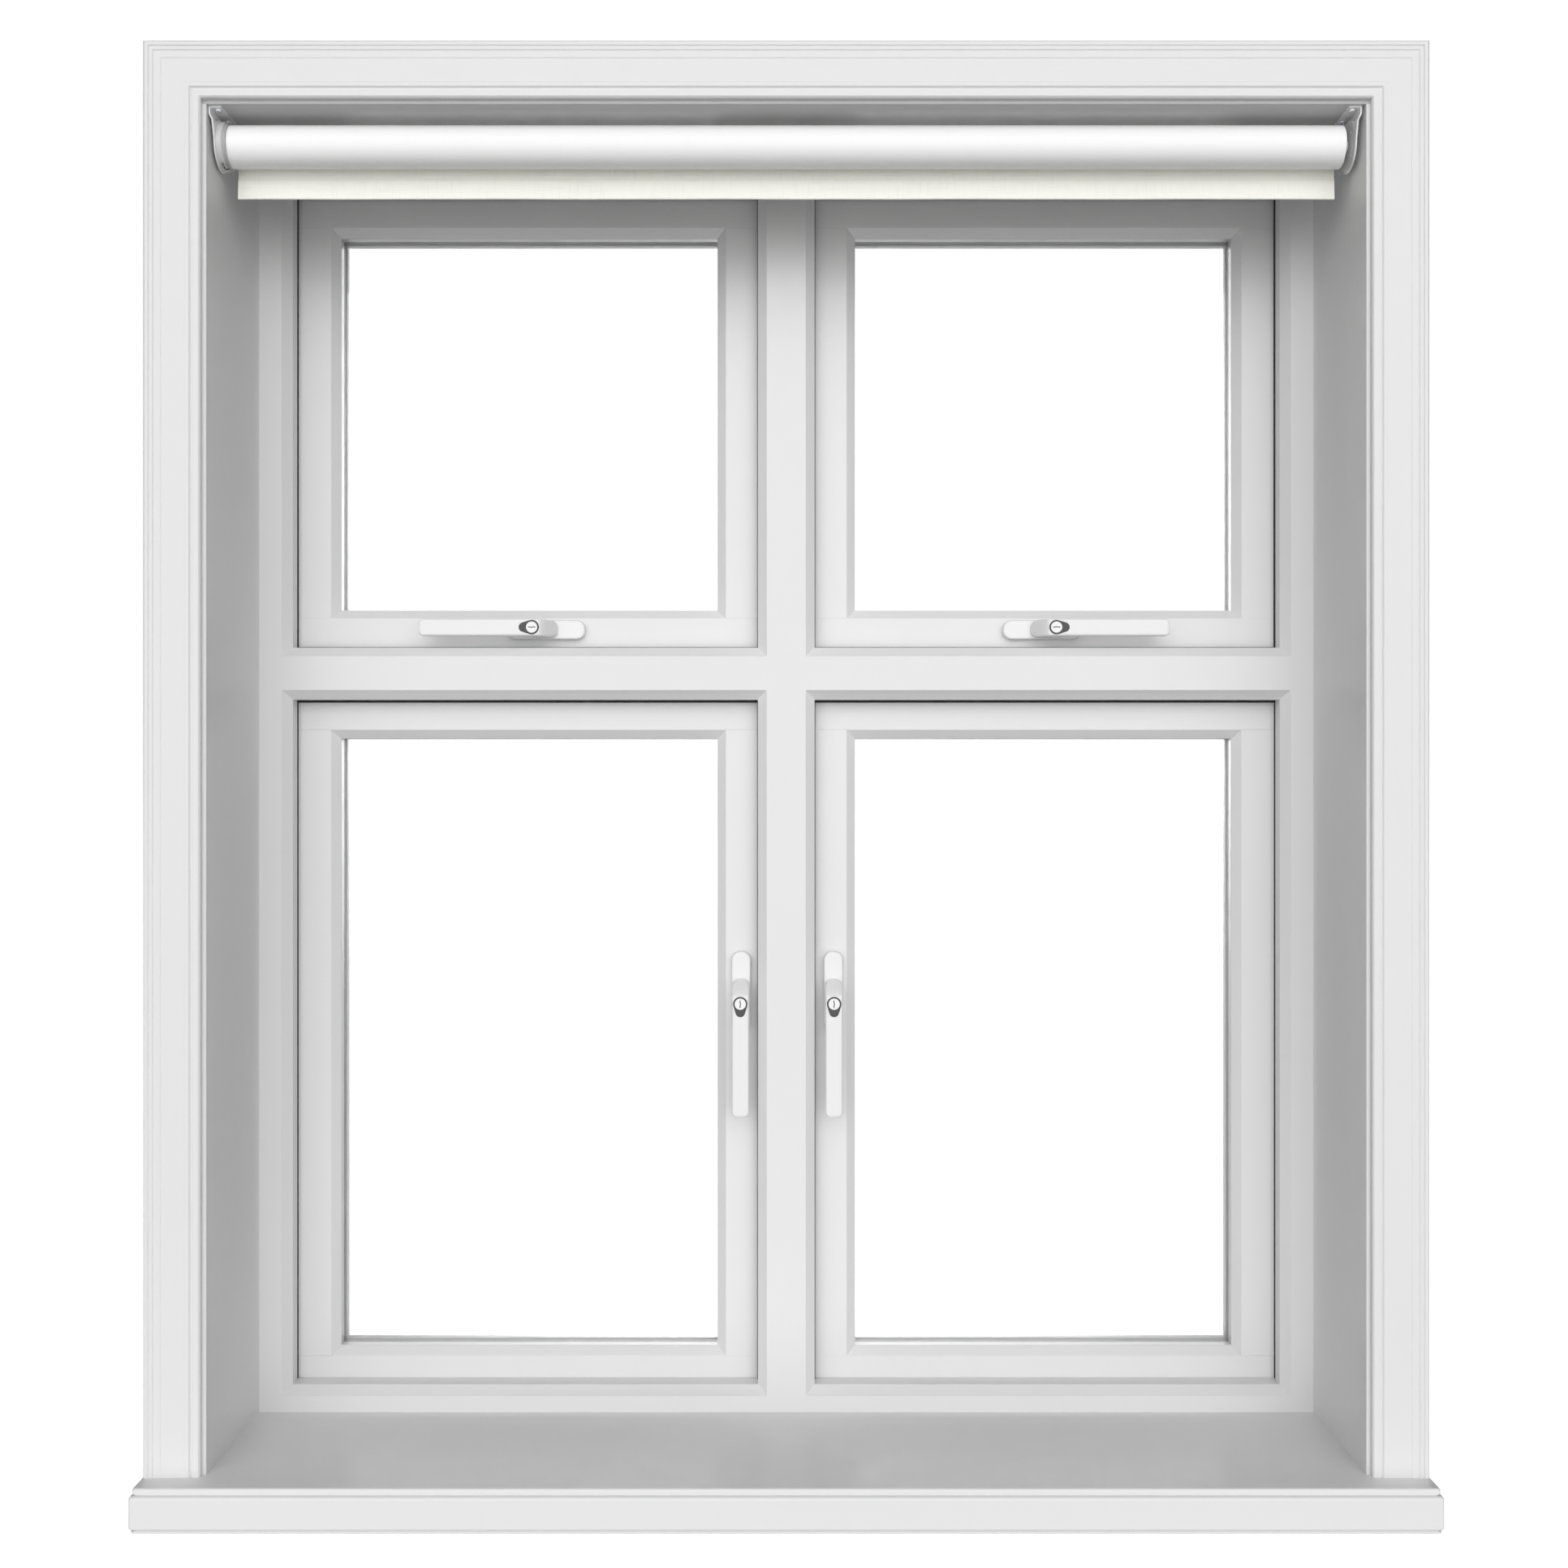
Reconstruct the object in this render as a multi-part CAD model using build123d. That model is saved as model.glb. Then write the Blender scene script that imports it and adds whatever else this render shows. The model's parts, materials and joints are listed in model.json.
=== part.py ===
from build123d import *

import math
import os

# Casement window with its reveal joinery and roller blind, in millimetres.
# X runs to the right seen from the room, Y runs out of doors and Z runs up.
# The origin is the middle of the frame's underside.

# ---------------------------------------------------------------- driving sizes
FRAME_WIDTH = 1275.0
FRAME_HEIGHT = 1515.0
FRAME_DEPTH = 90.0
MEMBER = 57.5            # outer edge of the frame to the edge of an opening
HEAD_MEMBER = 55.5       # the same at the head, whose edge the blind hides
MULLION = 66.8           # between the openings either side of the mullion
TRANSOM = 61.0           # between the openings above and below the transom
TRANSOM_Z = 893.0        # middle of the transom
STOP_CHAMFER = 10.6      # width of the chamfer round each opening
STOP_CHAMFER_DEPTH = 9.5
STOP_DEPTH = 27.5        # room face to the back of the stops
REBATE = 13.0            # how far the sash rebate reaches past the opening's edge
TRANSOM_LAP = 20.0       # depth of the transom's half lap over the jambs

SASH_GAP = 4.5           # all round each sash, behind the stops
SASH_SETBACK = 34.0      # room face of the frame to the room face of the sashes
STILE = 57.3             # sash edge to daylight
TOP_RAIL = 53.6
BOTTOM_RAIL_UPPER = 55.6
BOTTOM_RAIL_LOWER = 44.3
SASH_CHAMFER = 10.4
SASH_CHAMFER_DEPTH = 9.0
GLAZING_SHOULDER = 21.0  # room face of the sash to the glazing rebate
GLAZING_REBATE = 13.0
UNIT_THICKNESS = 20.0
PANE = 4.0
UNIT_CLEARANCE = 3.0
SPACER_WIDTH = 7.0
BEAD_FLAT = 10.0         # depth of a bead before its slope starts
BEAD_SLOPE = 5.0

REVEAL_DEPTH = 190.0
LINING_HALF_WIDTH = 617.0
LINING_THICKNESS = 18.0
SOFFIT_Z = 1486.0
LINING_EDGE_ROUND = 1.2

ARCHITRAVE_WIDTH = 60.1
ARCHITRAVE_MARGIN = 4.0
BOARD_TOP_Z = 28.0
BOARD_THICKNESS = 25.0
BOARD_HALF_WIDTH = 686.0
BOARD_PROJECTION = 41.0  # wall plane to the front of the nose
NOSE_HEIGHT = 47.0

ROLL_RADIUS = 22.8
ROLL_HALF_LENGTH = 601.7
ROLL_DROP = 32.0         # soffit to the roll's axis
ROLL_SETBACK = 150.5     # frame's room face to the roll's axis, towards the room
TUBE_RADIUS = 19.0
TUBE_WALL = 1.5
FABRIC_THICKNESS = 0.6
FABRIC_DROP = 49.5       # roll's axis to the hem

HANDLE_PLATE = (23.0, 93.0, 11.0)   # width, length, thickness
LEVER_WIDTH = 20.0
LEVER_LENGTH = 144.5     # spindle to tip
LEVER_HEEL = 14.2        # spindle to the neck's heel
LEVER_HEIGHT = 43.0      # sash face to the lever's front
LEVER_ARM = 11.0
KEY_OFFSET = 12.0        # spindle to the key cylinder
KEY_RADIUS = 6.6
BUTTON_RADIUS = 8.2
BUTTON_TAIL = 27.0       # spindle to the button's point
BUTTON_TAIL_RADIUS = 5.4
BUTTON_DEPTH = 6.0       # lever's front to the button's back
BUTTON_TRAVEL = 2.5
SPINDLES = {             # X and Z of each sash's handle spindle
    "upper_left": (-284.7, 946.0),
    "upper_right": (303.0, 946.0),
    "lower_left": (-53.6, 518.6),
    "lower_right": (55.8, 518.6),
}

BOLT_THROW = 18.0        # travel of the bolt rods over the lever's quarter turn
BOLT_RADIUS = 4.0
BOLT_REACH = 3.5         # beyond the sash's edge when the lever is shut
KEEP_DEPTH = 16.0        # of the socket behind each keep
KEEP_LENGTH = 30.0
KEEP_WIDTH = 16.0
KEEP_THICKNESS = 1.5

HINGE_LENGTH = 70.0
HINGE_LEAF = 28.0
HINGE_THICKNESS = 2.5
KNUCKLE_RADIUS = 4.5
PIN_RADIUS = 2.5
PIN_STANDOFF = 5.0       # outer face to the pin's axis
HINGE_INSET = 90.0       # end of the sash to the middle of a hinge

RUNNING = 0.05           # radial clearance of a shaft that turns
FREE = 0.3               # clearance between pieces that pass each other

# ---------------------------------------------------------------- derived places
FACE = -FRAME_DEPTH / 2
BACK = FRAME_DEPTH / 2
WALL = FACE - REVEAL_DEPTH
SASH_FACE = FACE + SASH_SETBACK
STOP_BACK = FACE + STOP_DEPTH
HALF = FRAME_WIDTH / 2
OPENING_OUT = HALF - MEMBER
OPENING_IN = MULLION / 2
LOWER_OPENING = (MEMBER, TRANSOM_Z - TRANSOM / 2)
UPPER_OPENING = (TRANSOM_Z + TRANSOM / 2, FRAME_HEIGHT - HEAD_MEMBER)
GLASS_Y = SASH_FACE + GLAZING_SHOULDER
BEAD_Y = GLASS_Y + UNIT_THICKNESS
ROLL_Y = FACE - ROLL_SETBACK
ROLL_Z = SOFFIT_Z - ROLL_DROP
PIN_Y = BACK + PIN_STANDOFF
RACK_OFFSET = BOLT_THROW / (math.pi / 2)
RACK_Y = SASH_FACE + 12.0

os.makedirs("parts", exist_ok=True)


# ---------------------------------------------------------------- small helpers
def save(shape, name):
    """Write one sub-part, which may be a list of separate pieces."""
    solids = shape.solids() if hasattr(shape, "solids") else [s for p in shape for s in p.solids()]
    export_step(Compound(children=list(solids)), os.path.join("parts", name + ".step"))


def block(x0, x1, y0, y1, z0, z1):
    """A box between two corners, given in any order."""
    size = [abs(x1 - x0), abs(y1 - y0), abs(z1 - z0)]
    middle = [(x0 + x1) / 2, (y0 + y1) / 2, (z0 + z1) / 2]
    return Pos(*middle) * Box(*size)


def rod(start, end, radius):
    """A round bar from one point to another along a row axis."""
    start, end = Vector(*start), Vector(*end)
    plane = Plane(origin=start, z_dir=(end - start))
    return extrude(plane * Circle(radius), (end - start).length)


def panel(points, y0, y1):
    """A prism of an outline given in X and Z, from y0 to y1."""
    outline = Plane.XZ * make_face(Polyline(*points, close=True))
    return Pos(0, y1, 0) * extrude(outline, y1 - y0)


def bar_along_x(points, x0, x1):
    """A prism of an outline given in Y and Z, from x0 to x1."""
    outline = Plane.YZ * make_face(Polyline(*points, close=True))
    return Pos(x0, 0, 0) * extrude(outline, x1 - x0)


def bar_along_z(points, z0, z1):
    """A prism of an outline given in X and Y, from z0 to z1."""
    outline = Plane.XY * make_face(Polyline(*points, close=True))
    return Pos(0, 0, z0) * extrude(outline, z1 - z0)


def mirrored(shape):
    """The same piece on the other side of the window."""
    return mirror(shape, about=Plane.YZ)


def grown(rect, amount):
    """A rectangle (x0, x1, z0, z1) made larger by amount on each side."""
    x0, x1, z0, z1 = rect
    return (x0 - amount, x1 + amount, z0 - amount, z1 + amount)


def rect_prism(rect, y0, y1):
    x0, x1, z0, z1 = rect
    return block(x0, x1, y0, y1, z0, z1)


def splay(rect, width, y0, y1):
    """The splayed mouth of an opening: width wider at y0 than at y1."""
    faces = []
    for size, y in ((grown(rect, width), y0), (rect, y1)):
        x0, x1, z0, z1 = size
        corners = [(x0, y, z0), (x1, y, z0), (x1, y, z1), (x0, y, z1)]
        faces.append(make_face(Polyline(*corners, close=True)))
    return loft(faces, ruled=True)


# ---------------------------------------------------------------- outer frame
OPENINGS = {
    "upper_left": (-OPENING_OUT, -OPENING_IN, *UPPER_OPENING),
    "upper_right": (OPENING_IN, OPENING_OUT, *UPPER_OPENING),
    "lower_left": (-OPENING_OUT, -OPENING_IN, *LOWER_OPENING),
    "lower_right": (OPENING_IN, OPENING_OUT, *LOWER_OPENING),
}


def sash_rect(opening):
    """Outer edges of the sash that closes an opening."""
    return grown(opening, REBATE - SASH_GAP)


def rod_lines(name):
    """Where each of a sash's two bolt rods runs: (along X?, offset line, from, to)."""
    x0, x1, z0, z1 = sash_rect(OPENINGS[name])
    side = -1 if name.endswith("left") else 1
    spindle = SPINDLES[name]
    if name.startswith("upper"):
        return [
            (True, spindle[1] - side * RACK_OFFSET, spindle[0], x0, -1),
            (True, spindle[1] + side * RACK_OFFSET, spindle[0], x1, 1),
        ]
    return [
        (False, spindle[0] - side * RACK_OFFSET, spindle[1], z1, 1),
        (False, spindle[0] + side * RACK_OFFSET, spindle[1], z0, -1),
    ]


def rod_bar(line, start, end, radius):
    """A round bar on a bolt rod's line, from start to end along it."""
    along_x, offset, _, _, _ = line
    if along_x:
        return rod((start, RACK_Y, offset), (end, RACK_Y, offset), radius)
    return rod((offset, RACK_Y, start), (offset, RACK_Y, end), radius)


def keep_plate(line, thickness, grow=0.0):
    """The plate let into the frame where a bolt rod enters it."""
    along_x, offset, _, edge, way = line
    wall = edge + way * SASH_GAP
    half, width = KEEP_LENGTH / 2 + grow, KEEP_WIDTH / 2 + grow
    span = sorted((wall, wall + way * thickness))
    if along_x:
        return block(*span, RACK_Y - width, RACK_Y + width, offset - half, offset + half)
    return block(offset - half, offset + half, RACK_Y - width, RACK_Y + width, *span)


def fixing_holes():
    """Clearance holes through the jambs for the screws into the wall."""
    y = BACK - 18.0
    cuts = []
    for side in (-1, 1):
        for z in (150.0, FRAME_HEIGHT - 150.0):
            cuts.append(rod((side * (HALF + 5), y, z), (side * (OPENING_OUT - 5), y, z), 2.75))
    return cuts


def frame_members():
    ring = block(-HALF, HALF, FACE, BACK, 0, FRAME_HEIGHT)
    for opening in OPENINGS.values():
        ring -= rect_prism(opening, FACE, BACK)
        ring -= splay(opening, STOP_CHAMFER, FACE, FACE + STOP_CHAMFER_DEPTH)
        ring -= rect_prism(grown(opening, REBATE), STOP_BACK, BACK)
    for name in OPENINGS:
        for line in rod_lines(name):
            edge, way = line[3], line[4]
            wall = edge + way * SASH_GAP
            ring -= rod_bar(line, wall - way, wall + way * KEEP_DEPTH, BOLT_RADIUS + 0.6)
            ring -= keep_plate(line, KEEP_THICKNESS)
    for cut in fixing_holes():
        ring -= cut

    c = STOP_CHAMFER
    out, inn = OPENING_OUT, OPENING_IN
    low, high = UPPER_OPENING
    # The head and the cill run right across; their chamfers meet the others in mitres.
    head_outline = [(-HALF, FRAME_HEIGHT), (HALF, FRAME_HEIGHT), (HALF, high + c), (out + c, high + c),
                    (out, high), (inn, high), (inn - c, high + c), (c - inn, high + c),
                    (-inn, high), (-out, high), (-out - c, high + c), (-HALF, high + c)]
    head = ring & panel(head_outline, FACE, BACK)
    cill_top = MEMBER
    cill_outline = [(x, cill_top + high - z) for x, z in head_outline[2:]]
    cill_outline = [(-HALF, 0), (HALF, 0)] + cill_outline
    cill = ring & panel(cill_outline, FACE, BACK)

    top, bottom = low, LOWER_OPENING[1]
    transom_outline = [(-out - c, bottom + c), (-out, bottom), (-inn, bottom), (c - inn, bottom + c),
                       (inn - c, bottom + c), (inn, bottom), (out, bottom), (out + c, bottom + c),
                       (out + c, top - c), (out, top), (inn, top), (inn - c, top - c),
                       (c - inn, top - c), (-inn, top), (-out, top), (-out - c, top - c)]
    lap = block(-HALF, HALF, FACE, FACE + TRANSOM_LAP, bottom + c, top - c)
    transom = (ring & panel(transom_outline, FACE, BACK)) + (ring & lap)

    uprights = (ring - head - cill - transom).solids()
    jambs = sorted((s for s in uprights if abs(s.center().X) > HALF / 2), key=lambda s: s.center().X)
    mullions = sorted((s for s in uprights if abs(s.center().X) < HALF / 2), key=lambda s: s.center().Z)
    return head, cill, transom, jambs, mullions


def cill_nose():
    """The weathered nose outside, with a drip groove under it."""
    reach, front_low, drip = 35.0, 10.0, 6.0
    outline = [(BACK, 4), (BACK + reach - 2 * drip, front_low - 3), (BACK + reach - 2 * drip, front_low + 2),
               (BACK + reach - drip, front_low + 2), (BACK + reach - drip, front_low - 2),
               (BACK + reach, front_low - 2), (BACK + reach, 32), (BACK + reach - 3, 34), (BACK, 41)]
    return bar_along_x(outline, -HALF, HALF)


def cill_upstand(opening):
    """The stop under a lower sash, which reaches back to the sash."""
    x0, x1, z0, _ = opening
    return block(x0, x1, STOP_BACK, SASH_FACE - FREE, z0 - REBATE, z0)


LOWER_OPENINGS = [OPENINGS["lower_left"], OPENINGS["lower_right"]]
head, cill, transom, jambs, mullions = frame_members()
for opening in LOWER_OPENINGS:
    cill += cill_upstand(opening)
save(head, "frame_head")
save(cill + cill_nose(), "frame_cill")
save(transom, "transom")
save(jambs[0], "frame_jamb_left")
save(jambs[1], "frame_jamb_right")
save(mullions, "mullions")


def frame_seal(opening):
    """The rubber seal on the back of the stops; it stands into an upper opening all round."""
    back = SASH_FACE - FREE
    band = rect_prism(grown(opening, 8.0), STOP_BACK, back)
    x0, x1, z0, z1 = opening
    if opening in LOWER_OPENINGS:
        return band - rect_prism((x0, x1, z0 - REBATE, z1 - 2.5), STOP_BACK, back)
    return band - rect_prism((x0 + 0.3, x1 - 0.6, z0 + 2.0, z1 - 2.5), STOP_BACK, back)


save([frame_seal(opening) for opening in OPENINGS.values()], "frame_seals")
KEEP_LINES = [line for name in OPENINGS for line in rod_lines(name)]


def keep(line):
    edge, way = line[3], line[4]
    wall = edge + way * SASH_GAP
    hole = rod_bar(line, wall - way, wall + way * 3, BOLT_RADIUS + 0.6)
    return keep_plate(line, KEEP_THICKNESS) - hole


save([keep(line) for line in KEEP_LINES], "bolt_keeps")


# ---------------------------------------------------------------- sashes and glazing
def sash_members(name):
    """Stiles, rails and the outer glazing beads of one sash."""
    rect = sash_rect(OPENINGS[name])
    x0, x1, z0, z1 = rect
    bottom_rail = BOTTOM_RAIL_UPPER if name.startswith("upper") else BOTTOM_RAIL_LOWER
    light = (x0 + STILE, x1 - STILE, z0 + bottom_rail, z1 - TOP_RAIL)
    ring = rect_prism(rect, SASH_FACE, BACK)
    ring -= rect_prism(light, SASH_FACE, BACK)
    ring -= splay(light, SASH_CHAMFER, SASH_FACE, SASH_FACE + SASH_CHAMFER_DEPTH)
    ring -= rect_prism(grown(light, GLAZING_REBATE), GLASS_Y, BACK)
    for line in rod_lines(name):
        start, edge, way = line[2:]
        ring -= rod_bar(line, start - way * 40, edge + way, BOLT_RADIUS + FREE)
    spindle = SPINDLES[name]
    ring -= rod((spindle[0], SASH_FACE, spindle[1]), (spindle[0], RACK_Y + 5, spindle[1]), 8.2)

    c = SASH_CHAMFER
    a0, a1, b0, b1 = light
    top = [(x0, z1), (x1, z1), (x1, b1 + c), (a1 + c, b1 + c),
           (a1, b1), (a0, b1), (a0 - c, b1 + c), (x0, b1 + c)]
    low = [(x0, z0), (x1, z0), (x1, b0 - c), (a1 + c, b0 - c),
           (a1, b0), (a0, b0), (a0 - c, b0 - c), (x0, b0 - c)]
    top_rail = ring & panel(top, SASH_FACE, BACK)
    low_rail = ring & panel(low, SASH_FACE, BACK)
    stiles = ring - top_rail - low_rail

    beads = rect_prism(grown(light, GLAZING_REBATE), BEAD_Y, BACK) - rect_prism(light, BEAD_Y, BACK)
    beads -= splay(light, BEAD_SLOPE, BACK, BEAD_Y + BEAD_FLAT)
    outer = grown(light, GLAZING_REBATE)
    bead_top = beads & rect_prism((outer[0], outer[1], b1, outer[3]), BEAD_Y, BACK)
    bead_low = beads & rect_prism((outer[0], outer[1], outer[2], b0), BEAD_Y, BACK)
    bead_sides = beads - bead_top - bead_low
    return [top_rail, low_rail, stiles, bead_top, bead_low, bead_sides], light


def glazing_unit(light):
    """Two panes and the spacer frame that holds them apart."""
    edge = grown(light, GLAZING_REBATE - UNIT_CLEARANCE)
    inner = rect_prism(edge, GLASS_Y, GLASS_Y + PANE)
    outer = rect_prism(edge, BEAD_Y - PANE, BEAD_Y)
    inside = grown(edge, -SPACER_WIDTH - 2.0)
    spacer = rect_prism(grown(edge, -2.0), GLASS_Y + PANE, BEAD_Y - PANE)
    spacer -= rect_prism(inside, GLASS_Y + PANE, BEAD_Y - PANE)
    return [inner, outer, spacer]


# ---------------------------------------------------------------- handles
# A handle is drawn about its spindle with the lever along +X and its height above
# the sash face along +Z, then turned onto the sash.
def on_sash(shape, name):
    """Stand a handle piece on the sash face, its lever the way it points when shut."""
    x, z = SPINDLES[name]
    if name.startswith("upper"):
        turn = 180 if name.endswith("left") else 0
    else:
        turn = -90
    return Pos(x, SASH_FACE, z) * Rot(0, -turn, 0) * Rot(90, 0, 0) * shape


def handle_plate():
    width, length, thick = HANDLE_PLATE
    outline = RectangleRounded(length, width, width / 2 - 1.0)
    plate = extrude(outline, thick)
    plate = fillet(plate.edges().group_by(Axis.Z)[-1], 2.5)
    return plate - Cylinder(5.2, 3 * thick)


def handle_lever():
    """The neck, the arm and, through the plate, the square spindle with its pinion."""
    plate = HANDLE_PLATE[2]
    base = plate + FREE
    under = LEVER_HEIGHT - LEVER_ARM
    side = Polyline((-LEVER_HEEL, base), (-LEVER_HEEL, base + 5), (0.0, LEVER_HEIGHT),
                    (LEVER_LENGTH, LEVER_HEIGHT), (LEVER_LENGTH, under + 1.5), (32.0, under), (20.0, under - 7),
                    (17.0, base), close=True)
    profile = Plane.XZ * make_face(side)
    body = Pos(0, LEVER_WIDTH / 2, 0) * extrude(profile, LEVER_WIDTH)
    # Rounded in plan at the heel and the tip.
    plan_middle = (LEVER_LENGTH - LEVER_HEEL) / 2
    plan = Pos(plan_middle, 0) * RectangleRounded(LEVER_LENGTH + LEVER_HEEL, LEVER_WIDTH, 6.5)
    heel = Pos(0, 0) * Circle(LEVER_WIDTH / 2 + 0.4)
    body &= extrude(plan, LEVER_HEIGHT + 1)
    soften = body.edges().filter_by(lambda e: e.center().Z > LEVER_HEIGHT - 0.2)
    body = fillet(soften, 2.4)
    boss = extrude(heel, base + 3) - extrude(heel, base)
    body += boss & extrude(plan, LEVER_HEIGHT)
    body -= button_pocket(FREE, LEVER_HEIGHT - BUTTON_DEPTH - BUTTON_TRAVEL - 1.0)
    spindle_top = base + 8
    spindle = Pos(0, 0, (spindle_top - 20) / 2) * Box(7, 7, spindle_top + 20)
    spindle &= Pos(0, 0, 0) * extrude(Plane.XY.offset(-14) * Circle(4.6), spindle_top + 14)
    body -= spindle
    pinion = Pos(0, 0, -12) * Cylinder(RACK_OFFSET - BOLT_RADIUS - FREE, 6)
    return [body, spindle + pinion]


def button_outline(extra):
    """A round end about the key cylinder drawn out to a small round point."""
    big, small = BUTTON_RADIUS + extra, BUTTON_TAIL_RADIUS + extra
    tail = BUTTON_TAIL - BUTTON_TAIL_RADIUS
    apart = tail - KEY_OFFSET
    lean = math.acos((big - small) / apart)
    points = []
    for x, r in ((KEY_OFFSET, big), (tail, small)):
        points.append((x + r * math.cos(lean), r * math.sin(lean)))
    top_big, top_small = points
    low_big, low_small = (top_big[0], -top_big[1]), (top_small[0], -top_small[1])
    edges = [
        ThreePointArc(low_big, (KEY_OFFSET - big, 0), top_big),
        Line(top_big, top_small),
        ThreePointArc(top_small, (tail + small, 0), low_small),
        Line(low_small, low_big),
    ]
    return make_face(edges)


def button_pocket(extra, floor):
    return extrude(Plane.XY.offset(floor) * button_outline(extra), 20)


def lock_button():
    """The button in the lever's face, bored for the key cylinder."""
    top, low = LEVER_HEIGHT + 0.5, LEVER_HEIGHT - BUTTON_DEPTH
    body = extrude(Plane.XY.offset(low) * button_outline(0.0), top - low)
    body = chamfer(body.edges().group_by(Axis.Z)[-1], 0.4)
    return body - Pos(KEY_OFFSET, 0, top) * Cylinder(KEY_RADIUS + RUNNING, 40)


def key_cylinder():
    """The round key cylinder with its slot."""
    top, low = LEVER_HEIGHT + 1.0, LEVER_HEIGHT - BUTTON_DEPTH + 0.5
    body = Pos(KEY_OFFSET, 0, low) * extrude(Circle(KEY_RADIUS), top - low)
    body = fillet(body.edges().group_by(Axis.Z)[-1], 0.4)
    slot = Pos(KEY_OFFSET, 0, top) * Box(8.4, 1.1, 5.0)
    ward = Pos(KEY_OFFSET, 0.5, top) * Box(1.6, 1.2, 5.0)
    return body - slot - ward


def bolt_rod(line):
    """A round rod that bolts one end of a sash into the frame."""
    start, edge, way = line[2:]
    tip = edge + way * BOLT_REACH
    body = rod_bar(line, start - way * 16, tip, BOLT_RADIUS)
    ends = body.edges().filter_by(GeomType.CIRCLE)
    return chamfer(ends, 0.8)


# ---------------------------------------------------------------- hinges
# A hinge is drawn with its pin along Z through the origin, the frame's leaf
# towards -X and the outer face at Y = -PIN_STANDOFF.
def knuckle(z0, z1, side, bore):
    tongue = block(0, side * (KNUCKLE_RADIUS + 1.0), -PIN_STANDOFF + 0.5, -PIN_STANDOFF + HINGE_THICKNESS, z0, z1)
    barrel = rod((0, 0, z0), (0, 0, z1), KNUCKLE_RADIUS)
    return tongue + barrel - rod((0, 0, z0 - 1), (0, 0, z1 + 1), bore)


def leaf_plate(side):
    near, far = side * (KNUCKLE_RADIUS + 0.6), side * (KNUCKLE_RADIUS + HINGE_LEAF)
    half = HINGE_LENGTH / 2
    plate = block(near, far, -PIN_STANDOFF, -PIN_STANDOFF + HINGE_THICKNESS, -half, half)
    corners = plate.edges().filter_by(Axis.Y).filter_by(lambda e: abs(e.center().X) > HINGE_LEAF / 2)
    return fillet(corners, 4.0)


def frame_leaf():
    half, third = HINGE_LENGTH / 2, HINGE_LENGTH / 6
    leaf = leaf_plate(-1)
    for z0, z1 in ((-half, -third), (third, half)):
        leaf += knuckle(z0, z1, -1, PIN_RADIUS)
    pin = rod((0, 0, -half - 2), (0, 0, half + 2), PIN_RADIUS)
    for z in (-half - 2, half):
        pin += rod((0, 0, z), (0, 0, z + 2), PIN_RADIUS + 1.2)
    return [leaf, pin]


def sash_leaf():
    third = HINGE_LENGTH / 6 - FREE
    return leaf_plate(1) + knuckle(-third, third, 1, PIN_RADIUS + RUNNING)


def hinge_places(name):
    """Locations of a sash's two hinges, on its outer stile or its top rail."""
    x0, x1, z0, z1 = sash_rect(OPENINGS[name])
    gap = SASH_GAP / 2
    if name.startswith("upper"):
        return [Pos(x, PIN_Y, z1 + gap) * Rot(0, 90, 0) for x in (x0 + HINGE_INSET, x1 - HINGE_INSET)]
    if name.endswith("left"):
        return [Pos(x0 - gap, PIN_Y, z) for z in (z0 + HINGE_INSET, z1 - HINGE_INSET)]
    return [Pos(x1 + gap, PIN_Y, z) * Rot(0, 180, 0) for z in (z0 + HINGE_INSET, z1 - HINGE_INSET)]


leaves, pins = [], []
for name in OPENINGS:
    members, light = sash_members(name)
    save(members, "sash_" + name)
    save(glazing_unit(light), "glazing_unit_" + name)
    save(on_sash(handle_plate(), name), "handle_plate_" + name)
    save([on_sash(piece, name) for piece in handle_lever()], "handle_lever_" + name)
    save(on_sash(lock_button(), name), "lock_button_" + name)
    save(on_sash(key_cylinder(), name), "key_cylinder_" + name)
    for label, line in zip("ab", rod_lines(name)):
        save(bolt_rod(line), "bolt_rod_" + label + "_" + name)
    places = hinge_places(name)
    save([place * sash_leaf() for place in places], "hinge_sash_leaves_" + name)
    for place in places:
        leaf, pin = frame_leaf()
        leaves.append(place * leaf)
        pins.append(place * pin)
save(leaves + pins, "hinge_frame_leaves")


# ---------------------------------------------------------------- reveal joinery
def lining_side():
    inner, outer = LINING_HALF_WIDTH, LINING_HALF_WIDTH + LINING_THICKNESS
    board = block(-outer, -inner, WALL, FACE, BOARD_TOP_Z, SOFFIT_Z)
    edge = board.edges().filter_by(Axis.Z).sort_by(lambda e: e.center().Y - e.center().X)[0]
    return fillet(edge, LINING_EDGE_ROUND)


def lining_head():
    outer = LINING_HALF_WIDTH + LINING_THICKNESS
    board = block(-outer, outer, WALL, FACE, SOFFIT_Z, SOFFIT_Z + LINING_THICKNESS)
    edge = board.edges().filter_by(Axis.X).sort_by(lambda e: e.center().Y + e.center().Z)[0]
    return fillet(edge, LINING_EDGE_ROUND)


# Architrave section: distance in from the outer edge, and thickness off the wall.
ARCHITRAVE_SECTION = [
    (0.0, 0.0), (0.0, 8.6), (1.9, 10.5), (5.3, 10.5), (6.4, 9.4), (7.0, 9.9), (10.0, 9.9), (11.1, 8.9),
    (11.7, 9.3), (18.4, 9.3), (19.3, 8.7), (20.0, 9.0), (43.9, 9.0), (44.6, 8.7), (45.4, 8.9), (48.2, 8.8),
    (50.2, 6.7), (51.1, 6.7), (51.8, 8.3), (58.4, 8.3), (ARCHITRAVE_WIDTH, 6.6), (ARCHITRAVE_WIDTH, 0.0),
]


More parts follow.
